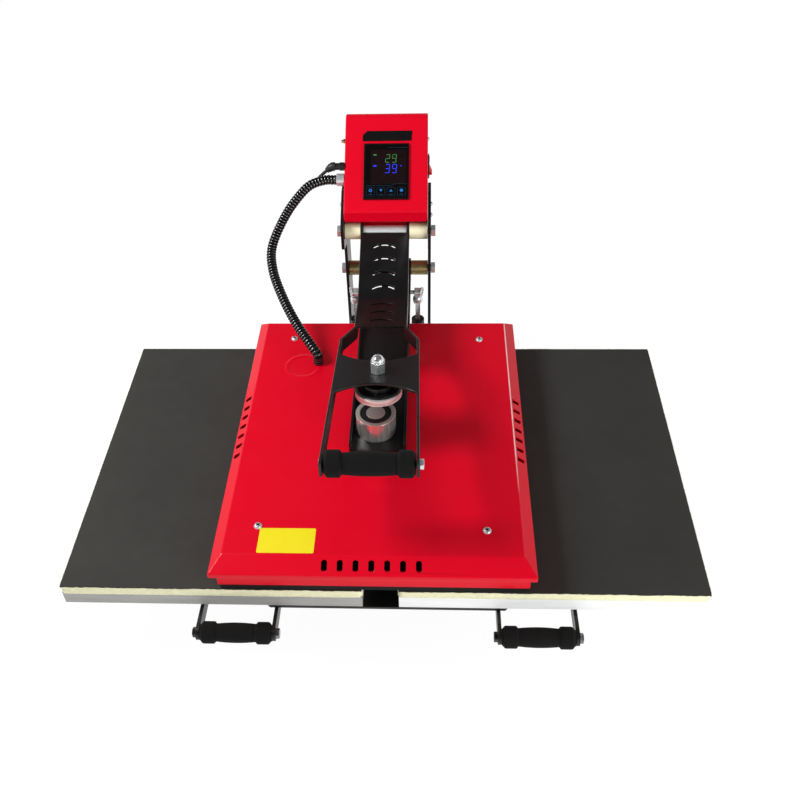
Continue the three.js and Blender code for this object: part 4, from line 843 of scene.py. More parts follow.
@dataclass
class WorkedPart:
    """A rigid part of the solids with its edges broken, as a maker deburrs or folds it."""

    node: str
    finish: Finish
    edge: float = 0.5
    fine_edge: float = 0.25
    rounding: int = 2
    regions: Sequence[tuple[Finish, FaceTest]] = ()
    corner: FaceTest | None = None
    corner_radius: float = 3.4
    corner_segments: int = 4
    same_place: float = 2e-6
    flat_degrees: float = 0.6
    smooth_degrees: float = 18.0
    broken_degrees: float = 20.0
    corner_degrees: float = 60.0
    ample_room: float = 2.6
    least_room: float = 2.4
    least_length: float = 2.2

    def merged(self) -> Build:
        """The solid's loose triangles, merged into whole flat faces.

        Returns:
            The faces.
        """
        build = bmesh.new()
        build.from_mesh(frame["nodes"][self.node].data)
        bmesh.ops.remove_doubles(build, verts=build.verts[:], dist=self.same_place)
        bmesh.ops.dissolve_limit(
            build, angle_limit=math.radians(self.flat_degrees), verts=build.verts[:], edges=build.edges[:]
        )
        return build

    def round_corners(self, build: Build) -> None:
        """Rounds the short inner corners that the corner test picks, such as the ends of slots.

        Args:
            build: The part's faces.
        """
        if self.corner is None:
            return
        picked = []
        for edge in build.edges:
            if not edge.is_manifold or edge.is_convex:
                continue
            if edge.calc_face_angle(0.0) < math.radians(self.corner_degrees):
                continue
            start, end = (vertex.co for vertex in edge.verts)
            if self.corner((start + end) / 2, (end - start).normalized()):
                picked.append(edge)
        bmesh.ops.bevel(
            build, geom=picked, offset=self.corner_radius * MM, segments=self.corner_segments, profile=0.5,
            affect="EDGES", clamp_overlap=False,
        )
        LOG.info("%s: %d corners rounded", self.node, len(picked))

    def weigh(self, build: Build) -> None:
        """Gives each edge that is to be broken its share of the edge size, as its faces have room.

        Args:
            build: The part's faces.
        """
        layer = build.edges.layers.float.new("bevel_weight_edge")
        wide, fine = self.edge * MM, self.fine_edge * MM
        for edge in build.edges:
            if not edge.is_manifold or not edge.is_convex:
                continue
            if edge.calc_face_angle(0.0) < math.radians(self.broken_degrees):
                continue
            length = edge.calc_length()
            room = min(face.calc_area() / max(length, 1e-6) for face in edge.link_faces)
            size = wide if room > self.ample_room * wide and length > self.least_length * wide else fine
            if room >= self.least_room * size and length >= self.least_length * size:
                edge[layer] = size / wide

    def worked_mesh(self) -> bpy.types.Mesh:
        """Breaks the edges of the merged solid.

        Returns:
            The mesh, with even shading.
        """
        build = self.merged()
        self.round_corners(build)
        self.weigh(build)
        mesh = bpy.data.meshes.new(self.node + "_raw")
        build.to_mesh(mesh)
        build.free()
        mesh.shade_smooth()
        mesh.set_sharp_from_angle(angle=math.radians(self.smooth_degrees))
        carrier = in_scene("carrier", mesh)
        bevel = carrier.modifiers.new("edges", "BEVEL")
        bevel.limit_method = "WEIGHT"
        bevel.width = self.edge * MM
        bevel.segments = self.rounding
        bevel.use_clamp_overlap = False
        bevel.harden_normals = True
        made = taken_off(carrier)
        bpy.data.meshes.remove(mesh)
        made.name = self.node + "_worked"
        return made

    def build(self) -> bpy.types.Object:
        """Makes the part, sets the finish of each region and puts it in place of its solid.

        Returns:
            The piece.
        """
        mesh = self.worked_mesh()
        marks = []
        for face in mesh.polygons:
            regions = enumerate(self.regions, start=1)
            picked = [k for k, (_, test) in regions if test(face.center, face.normal)]
            marks.append(picked[0] if picked else 0)
        finishes = [self.finish] + [finish for finish, _ in self.regions]
        body, slot = BODY_OF[self.node], SLOT_OF[self.node]
        return fit_piece(self.node + "_worked", mesh, body, slot, finishes, self.node, marks=marks)


class Rule(Wiring):
    """A Geometry Nodes tree with named inputs, and the means to run it."""

    def __init__(self, name: str, inputs: Sequence[tuple[str, str]]) -> None:
        """Starts a tree.

        Args:
            name: Name of the tree.
            inputs: Label and socket kind of each input.
        """
        super().__init__(bpy.data.node_groups.new(name, "GeometryNodeTree"))
        self.names = {}
        for label, kind in inputs:
            socket = self.tree.interface.new_socket(label, in_out="INPUT", socket_type="NodeSocket" + kind)
            self.names[label] = socket.identifier
        self.tree.interface.new_socket("Result", in_out="OUTPUT", socket_type="NodeSocketGeometry")
        self.given = self.add("NodeGroupInput").outputs

    def finish(self, shape: Socket, material: Socket, picked: object = True) -> None:
        """Ends the tree: its instances become real and get their material.

        Args:
            shape: The finished geometry.
            material: The material's input.
            picked: Which faces get the material.
        """
        real = self.add("GeometryNodeRealizeInstances", {"Geometry": shape}).outputs[0]
        inputs = {"Geometry": real, "Selection": picked, "Material": material}
        self.add("NodeGroupOutput", {"Result": self.add("GeometryNodeSetMaterial", inputs).outputs[0]})

    def run(self, carrier: bpy.types.Object, values: dict[str, object]) -> bpy.types.Mesh:
        """Runs the tree on a carrier, which is used up.

        Args:
            carrier: The object that the tree starts from.
            values: Value of each input, by label.

        Returns:
            The result as a plain mesh.
        """
        rule = carrier.modifiers.new("rule", "NODES")
        rule.node_group = self.tree
        for label, value in values.items():
            rule[self.names[label]] = value
        return taken_off(carrier)


@dataclass
class PanScrews:
    """A set of equal cross-head pan screws on one body, laid out by Geometry Nodes."""

    name: str
    radius: float
    body: str
    places: Sequence[tuple[Vector, Vector, float]]
    finish: Finish = SCREW_ZINC
    dome: Outline = ((0.97, 0.22), (0.82, 0.46), (0.5, 0.62), (0.18, 0.66))
    sides: int = 24
    cross_reach: float = 0.52

    def recess(self, top: float, reach: float) -> list[Build]:
        """The dark arms of the cross recess, which stand a hair proud of the dome.

        Args:
            top: Height of the dome's top.
            reach: Length of each arm of the cross.

        Returns:
            Both bars of the cross.
        """
        arms = []
        for turn in (0.0, math.pi / 2):
            arm = plate(bar(-reach, -reach / 4, reach, reach / 4), top - reach / 3, top + reach / 30)
            for face in arm.faces:
                face.material_index = 1
            arms.append(set_down(arm, turn=Matrix.Rotation(turn, 3, "Z")))
        return arms

    def form(self) -> bpy.types.Object:
        """One screw, standing on the XY plane.

        Returns:
            The screw's object, for the tree to copy.
        """
        radius = self.radius * MM
        rim = [(radius * 0.98, -0.0003), (radius, 0.0)]
        head = turned(rim + [(radius * r, radius * h) for r, h in self.dome], self.sides)
        arms = self.recess(radius * self.dome[-1][1], radius * self.cross_reach)
        mesh = plain_mesh("pan_screw", joined([head, *arms]))
        dress_mesh(mesh, [self.finish, RECESS], [face.material_index for face in mesh.polygons])
        return in_scene(self.name + "_form", mesh)

    def rule(self) -> Rule:
        """The tree that sets a screw at each place and plates all but its recess.

        Returns:
            The tree.
        """
        rule = Rule(self.name + "_layout", (
            ("Places", "Geometry"), ("Form", "Object"), ("Head size", "Float"), ("Plating", "Material"),
        ))
        form = rule.add("GeometryNodeObjectInfo", {"Object": rule.given["Form"]})
        turn = rule.add("GeometryNodeInputNamedAttribute", {"Name": "turn"}, data_type="FLOAT_VECTOR")
        rotation = rule.add("FunctionNodeEulerToRotation", {0: turn.outputs["Attribute"]})
        spread = rule.add("GeometryNodeInstanceOnPoints", {
            "Points": rule.given["Places"], "Instance": form.outputs["Geometry"],
            "Rotation": rotation.outputs[0], "Scale": rule.given["Head size"],
        })
        index = rule.add("GeometryNodeInputMaterialIndex").outputs[0]
        rule.finish(spread.outputs["Instances"], rule.given["Plating"], rule.math("SUBTRACT", 1.0, index))
        return rule

    def carrier(self) -> bpy.types.Object:
        """A cloud of points, one for each screw, that knows how each is turned.

        Returns:
            The cloud's object.
        """
        mesh = bpy.data.meshes.new(self.name + "_places")
        mesh.from_pydata([tuple(place) for place, _, _ in self.places], [], [])
        attribute = mesh.attributes.new("turn", "FLOAT_VECTOR", "POINT")
        for index, (_, outward, spin) in enumerate(self.places):
            upright = outward.normalized().to_track_quat("Z", "X").to_matrix()
            turn = upright @ Matrix.Rotation(spin, 3, "Z")
            attribute.data[index].vector = Vector(turn.to_euler("XYZ"))
        return in_scene(self.name + "_places", mesh)

    def build(self) -> bpy.types.Object:
        """Lays the screws out and turns them into one plain mesh.

        Returns:
            The piece.
        """
        form, rule = self.form(), self.rule()
        values = {"Form": form, "Head size": 1.0, "Plating": self.finish.make()}
        mesh = rule.run(self.carrier(), values)
        bpy.data.objects.remove(form)
        bpy.data.node_groups.remove(rule.tree)
        shade = RECESS.make()
        marks = [int(mesh.materials[face.material_index] == shade) for face in mesh.polygons]
        return fit_piece(self.name, mesh, self.body, "zinc", [self.finish, RECESS], marks=marks)


def smooth_route(points: Sequence[Sequence[float]], spans: int) -> np.ndarray:
    """Points on the smooth curve that the solids follow through the given ones.

    Args:
        points: The route's points, in drawing millimetres.
        spans: Samples of each stretch between two points.

    Returns:
        Points close together, in drawing millimetres.
    """
    given = np.array(points, float)
    given = np.vstack([2 * given[0] - given[1], given, 2 * given[-1] - given[-2]])
    samples = []
    for i in range(1, len(given) - 2):
        p0, p1, p2, p3 = given[i - 1 : i + 3]
        d0, d1, d2 = (np.linalg.norm(b - a) ** 0.5 for a, b in ((p0, p1), (p1, p2), (p2, p3)))
        t1 = ((p1 - p0) / d0 - (p2 - p0) / (d0 + d1) + (p2 - p1) / d1) * d1
        t2 = ((p2 - p1) / d1 - (p3 - p1) / (d1 + d2) + (p3 - p2) / d2) * d1
        for t in np.arange(spans) / spans:
            square = -3 * p1 + 3 * p2 - 2 * t1 - t2
            cube = 2 * p1 - 2 * p2 + t1 + t2
            samples.append(p1 + t1 * t + square * t * t + cube * t**3)
    samples.append(given[-2])
    return np.array(samples)


def even_route(route: np.ndarray, count: int) -> np.ndarray:
    """The route's points at even steps of its length.

    Args:
        route: Points along it.
        count: How many steps.

    Returns:
        One point more than the steps.
    """
    steps = np.linalg.norm(np.diff(route, axis=0), axis=1)
    along = np.concatenate([[0.0], np.cumsum(steps)])
    wanted = np.linspace(0.0, along[-1], count + 1)
    return np.stack([np.interp(wanted, along, route[:, k]) for k in range(3)], axis=1)


def tube(route: np.ndarray, radii: np.ndarray, sides: int, bore: float = 0.0, every: int = 6) -> Build:
    """A tube along a route, with a radius for each point and a bore if one is given.

    Args:
        route: Points of its middle line, in metres.
        radii: Outer radius at each point, in metres.
        sides: Faces round it.
        bore: Radius of its hollow, or 0 for none.
        every: Steps of the route to one step of the bore.

    Returns:
        The tube's faces, closed.
    """
    build = bmesh.new()
    forward = np.gradient(route, axis=0)
    forward /= np.linalg.norm(forward, axis=1)[:, None]
    side = np.cross(forward[0], (0.0, 0.0, 1.0))
    outer, inner = [], []
    angles = 2.0 * np.pi * np.arange(sides) / sides
    for index, (centre, ahead, radius) in enumerate(zip(route, forward, radii)):
        side = side - ahead * (side @ ahead)
        side /= np.linalg.norm(side)
        way = np.cos(angles)[:, None] * side + np.sin(angles)[:, None] * np.cross(ahead, side)
        outer.append([build.verts.new(centre + radius * w) for w in way])
        if bore > 0.0 and (index % every == 0 or index == len(route) - 1):
            inner.append([build.verts.new(centre + bore * w) for w in way])
    for rings in (outer, inner):
        for low, high in zip(rings, rings[1:]):
            bridge(build, low, high)
    for end in (0, -1):
        if inner:
            bridge(build, outer[end], inner[end])
        else:
            build.faces.new(outer[end])
    return build


@dataclass
class PhotoCamera:
    """The camera at the photograph's viewing angle."""

    place: Vector = field(default_factory=lambda: Vector((0.064235, -1.091681, 1.156064)))
    down: float = 0.7363
    turn: float = -0.069
    roll: float = -0.0426
    focal: float = 957.803
    centre: tuple[float, float] = (381.081, 404.079)
    picture: float = 800.0
    sensor: float = 36.0
    reach: tuple[float, float] = (0.05, 50.0)

    def build(self) -> bpy.types.Object:
        """Makes the camera and sets it as the scene's.

        Returns:
            The camera.
        """
        sine, cosine = math.sin(self.turn), math.cos(self.turn)
        flat = math.cos(self.down)
        ahead = Vector((sine * flat, cosine * flat, -math.sin(self.down)))
        level = Vector((cosine, -sine, 0.0))
        above = level.cross(ahead)
        right = level * math.cos(self.roll) + above * math.sin(self.roll)
        up = above * math.cos(self.roll) - level * math.sin(self.roll)
        data = bpy.data.cameras.new("photo_camera")
        data.sensor_width = self.sensor
        data.lens = self.sensor * self.focal / self.picture
        data.shift_x = (self.picture / 2 - self.centre[0]) / self.picture
        data.shift_y = (self.centre[1] - self.picture / 2) / self.picture
        data.clip_start, data.clip_end = self.reach
        camera = in_scene("photo_camera", data)
        camera.matrix_world = Matrix(
            [(right[k], up[k], -ahead[k], self.place[k]) for k in range(3)] + [(0.0, 0.0, 0.0, 1.0)]
        )
        bpy.context.scene.camera = camera
        return camera


@dataclass
class Lamp:
    """One soft square lamp."""

    name: str
    place: Triple
    size: float
    watts: float

    def build(self, aim: Vector) -> None:
        """Hangs the lamp, so that it points at a place.

        Args:
            aim: The place.
        """
        data = bpy.data.lights.new(self.name, "AREA")
        data.size = self.size
        data.energy = self.watts
        lamp = in_scene(self.name, data)
        lamp.location = self.place
        lamp.visible_camera = False
        lamp.rotation_mode = "QUATERNION"
        lamp.rotation_quaternion = (aim - Vector(self.place)).to_track_quat("-Z", "Y")


@dataclass
class Studio:
    """The pale floor, the surroundings and the soft lamps."""

    floor_size: float = 30.0
    floor_drop: float = 0.0002
    floor_colour: float = 0.86
    floor_glow: float = 1.14
    floor_share: float = 0.82
    sky_levels: tuple[float, float] = (0.72, 0.304)
    sky_heights: tuple[float, float] = (0.28, 0.55)
    gloss_levels: tuple[float, float] = (0.76, 0.04)
    gloss_heights: tuple[float, float] = (0.28, 0.5)
    aim: Triple = (0.0, 0.0, 0.2)
    lamps: Sequence[Lamp] = (
        Lamp("key_lamp", (-1.05, -0.1, 1.35), 0.5, 18.5),
        Lamp("fill_lamp", (1.9, -1.3, 1.6), 1.2, 5.0),
        Lamp("low_lamp", (1.0, -1.2, 0.32), 0.7, 9.0),
    )

    def floor(self) -> None:
        """A plain pale floor, bright to the camera, that takes a soft shadow."""
        half = self.floor_size / 2
        mesh = bpy.data.meshes.new("bench")
        corners = [(x, y, -self.floor_drop) for x, y in bar(-half, -half, half, half)]
        mesh.from_pydata(corners, [], [(0, 1, 2, 3)])
        material = bpy.data.materials.new("pale_floor")
        material.use_nodes = True
        nodes = Wiring(material.node_tree)
        nodes.tree.nodes.clear()
        matt = nodes.add("ShaderNodeBsdfDiffuse", {"Color": (*[self.floor_colour] * 3, 1.0)})
        lit = nodes.add("ShaderNodeEmission", {"Color": (1.0, 1.0, 1.0, 1.0), "Strength": self.floor_glow})
        path = nodes.add("ShaderNodeLightPath").outputs
        seen = path["Is Camera Ray"]
        for kind in ("Is Glossy Ray", "Is Transmission Ray"):
            seen = nodes.math("MAXIMUM", seen, path[kind])
        share = nodes.math("MULTIPLY", seen, self.floor_share)
        mixed = nodes.add("ShaderNodeMixShader", {"Fac": share, 1: matt.outputs[0], 2: lit.outputs[0]})
        nodes.add("ShaderNodeOutputMaterial", {"Surface": mixed.outputs[0]})
        mesh.materials.append(material)
        in_scene("bench_floor", mesh)

    def surroundings(self) -> None:
        """White near the horizon and darker overhead, with plain white for the camera."""
        world = bpy.data.worlds.new("studio")
        bpy.context.scene.world = world
        world.use_nodes = True
        nodes = Wiring(world.node_tree)
        nodes.tree.nodes.clear()
        way = nodes.add("ShaderNodeTexCoord").outputs["Generated"]
        height = nodes.add("ShaderNodeSeparateXYZ", {0: way}).outputs["Z"]
        path = nodes.add("ShaderNodeLightPath").outputs
        sky = nodes.ramp(height, self.sky_heights, self.sky_levels)
        gloss = nodes.ramp(height, self.gloss_heights, self.gloss_levels)
        for ray, level in (("Is Glossy Ray", gloss), ("Is Camera Ray", 1.0)):
            sky = nodes.add("ShaderNodeMix", {"Factor": path[ray], "A": sky, "B": level}).outputs["Result"]
        inputs = {"Color": (1.0, 1.0, 1.0, 1.0), "Strength": sky}
        background = nodes.add("ShaderNodeBackground", inputs)
        nodes.add("ShaderNodeOutputWorld", {"Surface": background.outputs[0]})

    def build(self) -> None:
        """Makes the floor, the surroundings and the lamps."""
        self.floor()
        self.surroundings()
        for lamp in self.lamps:
            lamp.build(Vector(self.aim))
        bpy.context.scene.view_settings.view_transform = "Standard"


@dataclass
class HeaterHose:
    """The ribbed hose from the control box to the head cover, and the thin magnet lead behind it."""

    gland_x: float = -86.1
    lead_x: float = -89.1
    hose_radius: float = 8.0
    valley: float = 1.5
    bore: float = 5.6
    ribs: int = 78
    rib_steps: int = 10
    rib_fullness: float = 0.4
    crest_depth: float = 0.4
    hose_sides: int = 20
    lead_radius: float = 2.7
    lead_steps: int = 200
    lead_sides: int = 16
    boot_steps: int = 8
    boot_radius: float = 7.4
    boot_taper: float = 3.0
    boot_groove: float = 0.4
    cover_top: float = 201.2
    spans: int = 40
    sharp_degrees: float = 60.0

    def hose_points(self) -> list[Triple]:
        """The hose's route, from the gland to the cover.

        Returns:
            Its points in drawing millimetres.
        """
        x, r, top = self.gland_x, self.hose_radius, self.cover_top
        return [
            (x, 611, 396), (x - r, 611, 396), (x - 2 * r, 611, 396), (-128, 608, 389), (-151, 600, 369),
            (-173, 585, 342), (-192, 550, 308), (-188, 515, 289), (-169, 470, 267), (-145, 430, 246),
            (-122, 400, 230), (-110, 388, top + 2 * r), (-110, 388, top + r), (-110, 388, top),
        ]

    def lead_points(self) -> list[Triple]:
        """The magnet lead's route, from its gland to the cover.

        Returns:
            Its points in drawing millimetres.
        """
        x, r, top = self.lead_x, self.lead_radius, self.cover_top
        return [
            (x, 625, 412), (x - r, 625, 412), (x - 2 * r, 625, 411), (-107, 623, 402), (-127, 617, 384),
            (-160, 604, 348), (-190, 566, 302), (-187, 530, 276), (-169, 487, 255), (-147, 448, 236),
            (-124, 417, 221), (-112, 408, top + 2 * r), (-112, 408, top + r), (-112, 408, top),
        ]

    def placed(self, points: Sequence[Triple], count: int) -> np.ndarray:
        """A route at even steps, in metres in the frame of the solids."""
        even = even_route(smooth_route(points, self.spans), count)
        return even * MM + np.array([0.0, FRONT_EDGE, 0.0])

    def hose(self) -> None:
        steps = self.ribs * self.rib_steps
        route = self.placed(self.hose_points(), steps)
        phase = 2.0 * np.pi * np.arange(steps + 1) / self.rib_steps
        bead = (0.5 - 0.5 * np.cos(phase)) ** self.rib_fullness
        radii = (self.hose_radius - self.valley * (1.0 - bead)) * MM
        build = tube(route, radii, self.hose_sides, self.bore * MM)
        mesh = plain_mesh("corrugated_hose", build, self.sharp_degrees)
        crest = (self.hose_radius - self.crest_depth) * MM
        away = [np.linalg.norm(route - np.array(face.center), axis=1).min() for face in mesh.polygons]
        # Crest faces get a lighter colour, a painted highlight, as well as more gloss.
        dress_mesh(mesh, [HOSE_PLASTIC, HOSE_CREST_HIGHLIGHT], [int(a > crest) for a in away])
        piece = in_scene("ribbed_heater_hose", mesh)
        self.hang(piece, "plastic", "corrugated_hose", route, self.hose_radius)

    def lead(self) -> None:
        route = self.placed(self.lead_points(), self.lead_steps)
        radii = np.full(len(route), self.lead_radius * MM)
        mesh = plain_mesh("magnet_lead", tube(route, radii, self.lead_sides), self.sharp_degrees)
        dress_mesh(mesh, [RUBBER], None)
        share = np.linspace(0.0, 1.0, self.boot_steps + 1)
        grooves = self.boot_groove * (np.arange(len(share)) % 2)
        radii = (self.boot_radius - self.boot_taper * share**2 - grooves) * MM
        boot = plain_mesh("boot", tube(route[: len(share)], radii, self.hose_sides))
        boot = fit_piece("magnet_lead_boot", boot, "base", "plastic", [BLACK_PLASTIC])
        piece = in_scene("black_magnet_lead", mesh)
        self.hang(piece, "rubber", "magnet_lead", route, self.lead_radius, boot)

    def hang(
        self, piece: bpy.types.Object, slot: str, node: str, route: np.ndarray, radius: float,
        *along: bpy.types.Object,
    ) -> None:
        """Hides the solid's cord and bakes the place of the new cord, which runs between the box and the
        cover, into its mesh.

        Args:
            piece: The cord's object.
            slot: The record's material slot; not used.
            node: The node that it replaces.
            route: Points of its middle line; not used.
            radius: Its radius in millimetres; not used.
            *along: Separate pieces on it; not used.
        """
        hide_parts(node)
        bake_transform(piece)

    def build(self) -> None:
        """Builds both cords."""
        self.hose()
        self.lead()


@dataclass
class FoamGrips:
    """The three foam grips, all shaped by one Geometry Nodes rule."""

    sizes: Sequence[tuple[str, float, float, float]] = (
        ("handle_grip_left", 11.6, 14.6, 20.0),
        ("handle_grip_right", 11.6, 14.6, 20.0),
        ("lever_grip", 13.6, 17.5, 21.0),
    )
    fullness: float = 0.14
    end_gap: float = 0.0002
    sides: int = 40
    rings: int = 96
    seam: float = 0.0016
    tip_length: float = 0.006
    tip_share: float = 0.28
    sharp_degrees: float = 50.0

    def rule(self) -> Rule:
        """A tube of foam that is a little fuller in the middle, with a collar at each end.

        Returns:
            The tree.
        """
        rule = Rule("foam_grip_rule", (
            ("Length", "Float"), ("Body radius", "Float"), ("Collar radius", "Float"),
            ("Collar length", "Float"), ("Fullness", "Float"), ("Place", "Vector"), ("Foam", "Material"),
        ))
        calc, given = rule.math, rule.given
        blank = rule.add("GeometryNodeMeshCylinder", {
            "Vertices": self.sides, "Side Segments": self.rings, "Radius": given["Body radius"],
            "Depth": given["Length"],
        })
        place = rule.add("GeometryNodeInputPosition").outputs[0]
        away = calc("ABSOLUTE", rule.add("ShaderNodeSeparateXYZ", {0: place}).outputs["Z"])
        half = calc("MULTIPLY", given["Length"], 0.5)
        seam = calc("SUBTRACT", half, given["Collar length"])
        collar = rule.ramp(away, (calc("SUBTRACT", seam, self.seam), calc("ADD", seam, self.seam)))
        growth = calc("SUBTRACT", calc("DIVIDE", given["Collar radius"], given["Body radius"]), 1.0)
        stepped = calc("ADD", calc("MULTIPLY", collar, growth), 1.0)
        share = calc("DIVIDE", away, seam)
        swell = calc("MAXIMUM", calc("SUBTRACT", 1.0, calc("MULTIPLY", share, share)), 0.0)
        full = calc("MULTIPLY", swell, given["Fullness"])
        tip = rule.ramp(away, (calc("SUBTRACT", half, self.tip_length), half))
        ended = calc("SUBTRACT", 1.0, calc("MULTIPLY", calc("MULTIPLY", tip, tip), self.tip_share))
        factor = calc("MULTIPLY", calc("ADD", stepped, full), ended)
        scale = rule.add("ShaderNodeCombineXYZ", {0: factor, 1: factor, 2: 1.0}).outputs[0]
        shaped = rule.add("ShaderNodeVectorMath", {0: place, 1: scale}, operation="MULTIPLY").outputs[0]
        foam = rule.add("GeometryNodeSetPosition", {"Geometry": blank.outputs["Mesh"], "Position": shaped})
        turn = rule.add("GeometryNodeTransform", {
            "Geometry": foam.outputs[0], "Rotation": (0.0, math.pi / 2, 0.0), "Translation": given["Place"],
        })
        smooth = rule.add("GeometryNodeSetShadeSmooth", {"Geometry": turn.outputs[0]})
        rule.finish(smooth.outputs[0], given["Foam"])
        return rule

    def build(self) -> None:
        """Shapes the three grips with the rule and puts them over their rods."""
        rule = self.rule()
        for node, body, collar, collar_length in self.sizes:
            low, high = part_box(node)
            blank = in_scene(node + "_blank", bpy.data.meshes.new(node + "_blank"))
            mesh = rule.run(blank, {
                "Length": (high.x - low.x) - self.end_gap, "Body radius": body * MM,
                "Collar radius": collar * MM, "Collar length": collar_length * MM,
                "Fullness": self.fullness, "Place": tuple((low + high) / 2), "Foam": FOAM.make(),
            })
            mesh.set_sharp_from_angle(angle=math.radians(self.sharp_degrees))
            piece = fit_piece(node + "_foam", mesh, BODY_OF[node], "rubber", [FOAM], node)
        bpy.data.node_groups.remove(rule.tree)


@dataclass
class PressTables:
    """The two tables: charcoal pads and cream sponges on aluminium plates."""

    pad_columns: int = 60
    pad_rows: int = 74
    pad_wave: float = 0.12
    pad_wave_pitch: tuple[float, float] = (91.0, 77.0)
    pad_wave_shift: float = 3.0
    pad_settle: float = 0.15
    pad_edge_drop: float = 0.6
    sponge_step: float = 4.0
    fray_low: float = 0.1
    fray_high: float = 2.5
    fray_run: int = 9
    fray_shares: Triple = (0.45, 1.1, 0.25)
    bulge: float = 0.25
    lip: float = 0.9
    lip_gap: float = 1.2
    droop: tuple[float, float] = (1.9, 0.4)
    bracket_middles: tuple[float, float] = (-190.0, 206.0)
    bracket_half: float = 52.9

    def pad(self, side: Side) -> None:
        """One pad: a rubber sheet whose edges are slightly rounded and whose top isn't quite flat.

        Args:
            side: Which table.
        """
        node = "table_pad_" + side.value
        low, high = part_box(node)
        size = high - low
        columns, rows = self.pad_columns, self.pad_rows
        (wave_x, wave_y), shift = self.pad_wave_pitch, self.pad_wave_shift
        build = bmesh.new()
        grid = {}
        for level in (0, 1):
            for i in range(columns + 1):
                for j in range(rows + 1):
                    x, y = low.x + size.x * i / columns, low.y + size.y * j / rows
                    wave = self.pad_wave * math.sin(wave_x * x + shift) * math.sin(wave_y * y)
                    sunk = self.pad_settle - wave
                    if i in (0, columns) or j in (0, rows):
                        sunk += self.pad_edge_drop
                    grid[level, i, j] = build.verts.new((x, y, low.z + (size.z - sunk * MM) * level))
        for i in range(columns):
            for j in range(rows):
                build.faces.new([grid[1, i + a, j + b] for a, b in ((0, 0), (1, 0), (1, 1), (0, 1))])
                build.faces.new([grid[0, i + a, j + b] for a, b in ((0, 0), (0, 1), (1, 1), (1, 0))])
        rim = [(i, 0) for i in range(columns)] + [(columns, j) for j in range(rows)]
        rim += [(i, rows) for i in range(columns, 0, -1)] + [(0, j) for j in range(rows, 0, -1)]
        bridge(build, [grid[0, i, j] for i, j in rim], [grid[1, i, j] for i, j in rim])
        mesh = plain_mesh(node, build, 40.0)
        piece = fit_piece(node + "_sheet", mesh, "table", "silicone", [PAD_RUBBER], node)

    def sponge_rim(self, low: Vector, high: Vector) -> list[tuple[Vector, Vector]]:
        """Places round a sponge's rim.

        Args:
            low: The sponge's lowest corner.
            high: Its highest corner.

        Returns:
            Each place, with the way outwards there.
        """
        rim = []
        corners = bar(low.x, low.y, high.x, high.y)
        for (x0, y0), (x1, y1) in zip(corners, corners[1:] + corners[:1]):
            length = math.hypot(x1 - x0, y1 - y0)
            outward = Vector(((y1 - y0) / length, -(x1 - x0) / length, 0.0))
            count = max(2, round(length / (self.sponge_step * MM)))
            for i in range(count):
                share = (i + 0.5) / count
                rim.append((Vector((x0 + (x1 - x0) * share, y0 + (y1 - y0) * share, 0.0)), outward))
        return rim

    def sponge_column(
        self, low: float, high: float, droop: float, fray: float, bulge: float
    ) -> list[tuple[float, float]]:
        """The sponge's outline at one place of its rim, from its underside to its top.

        Args:
            low: Height of its underside, in metres as all that follows.
            high: Height of its top.
            droop: How far it hangs down over the plate's edge.
            fray: How far its lip stands up.
            bulge: How far it swells there.

        Returns:
            Pairs of distance outwards and height.
        """
        gap = self.lip_gap * MM
        wide = gap + self.lip * MM + bulge * 0.6
        thick = high - low
        top = high + 0.0003 + fray
        return [
            (-0.3 * MM, low), (1.12 * MM, low - 0.0001), (1.25 * MM, low - droop),
            (1.9 * MM + bulge, low - droop + 0.0004), (1.7 * MM - bulge, low + 0.45 * thick),
            (1.6 * MM + bulge, low + 0.75 * thick), (wide, high - 0.0004), (wide - 0.0002, top),
            (gap + 0.0001, top - 0.0002), (gap, high + 0.00005), (-0.6 * MM, high),
        ]

    def sponge(self, side: Side, seed: int, droop: float) -> None:
        """One sponge, whose frayed rim stands a little proud of the pad's edge.

        Args:
            side: Which table.
            seed: Seed of its fraying.
            droop: Millimetres by which its rim hangs down over the plate's edge.
        """
        node = "table_sponge_" + side.value
        low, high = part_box(node)
        draw = np.random.default_rng(seed)
        rim = self.sponge_rim(low, high)
        count = len(rim)
        rough = draw.uniform(0.0, 1.0, count)
        run = np.ones(self.fray_run) / self.fray_run
        slow = np.convolve(np.tile(draw.uniform(0.0, 1.0, count), 3), run, "same")[count : 2 * count]
        rough_share, slow_share, slow_least = self.fray_shares
        share = np.clip(rough_share * rough + slow_share * (slow - slow_least), 0, 1)
        fray = (self.fray_low + (self.fray_high - self.fray_low) * share) * MM
        bulge = draw.uniform(-self.bulge, self.bulge, count) * MM
        build = bmesh.new()
        rings = []
        for (place, outward), tuft, swell in zip(rim, fray, bulge):
            column = self.sponge_column(low.z, high.z, droop * MM, tuft, swell)
            rings.append([build.verts.new(place + outward * away + Vector((0, 0, z))) for away, z in column])
        rows = [list(row) for row in zip(*rings)]
        for lower, upper in zip(rows, rows[1:]):
            bridge(build, lower, upper)
        build.faces.new(rows[0][::-1])
        build.faces.new(rows[-1])
        piece = fit_piece(node + "_frayed", plain_mesh(node, build, 70.0), "table", "sponge", [SPONGE], node)

    def bracket(self, side: Side, middle: float) -> None:
        """One handle bracket, with its left arm's bolt painted black as painted shade and a darker steel bolt
        on its right.

        Args:
            side: Which table.
            middle: Middle of the bracket across the press.
        """
        regions = []
        # The left bolt's black is painted shade; both arms carry the same bolt.
        for arm, finish in ((Side.LEFT, BLACK_OXIDE_AND_SHADE), (Side.RIGHT, BOLT_STEEL)):

            def is_bolt(place: Vector, normal: Vector, sign: float = arm.sign) -> bool:
                """Whether a face belongs to the bolt head on this arm."""
                return sign * (place.x - middle * MM) > self.bracket_half * MM

            regions.append((finish, is_bolt))
        WorkedPart("handle_bracket_" + side.value, BLACK_PAINT, edge=0.6, regions=regions).build()

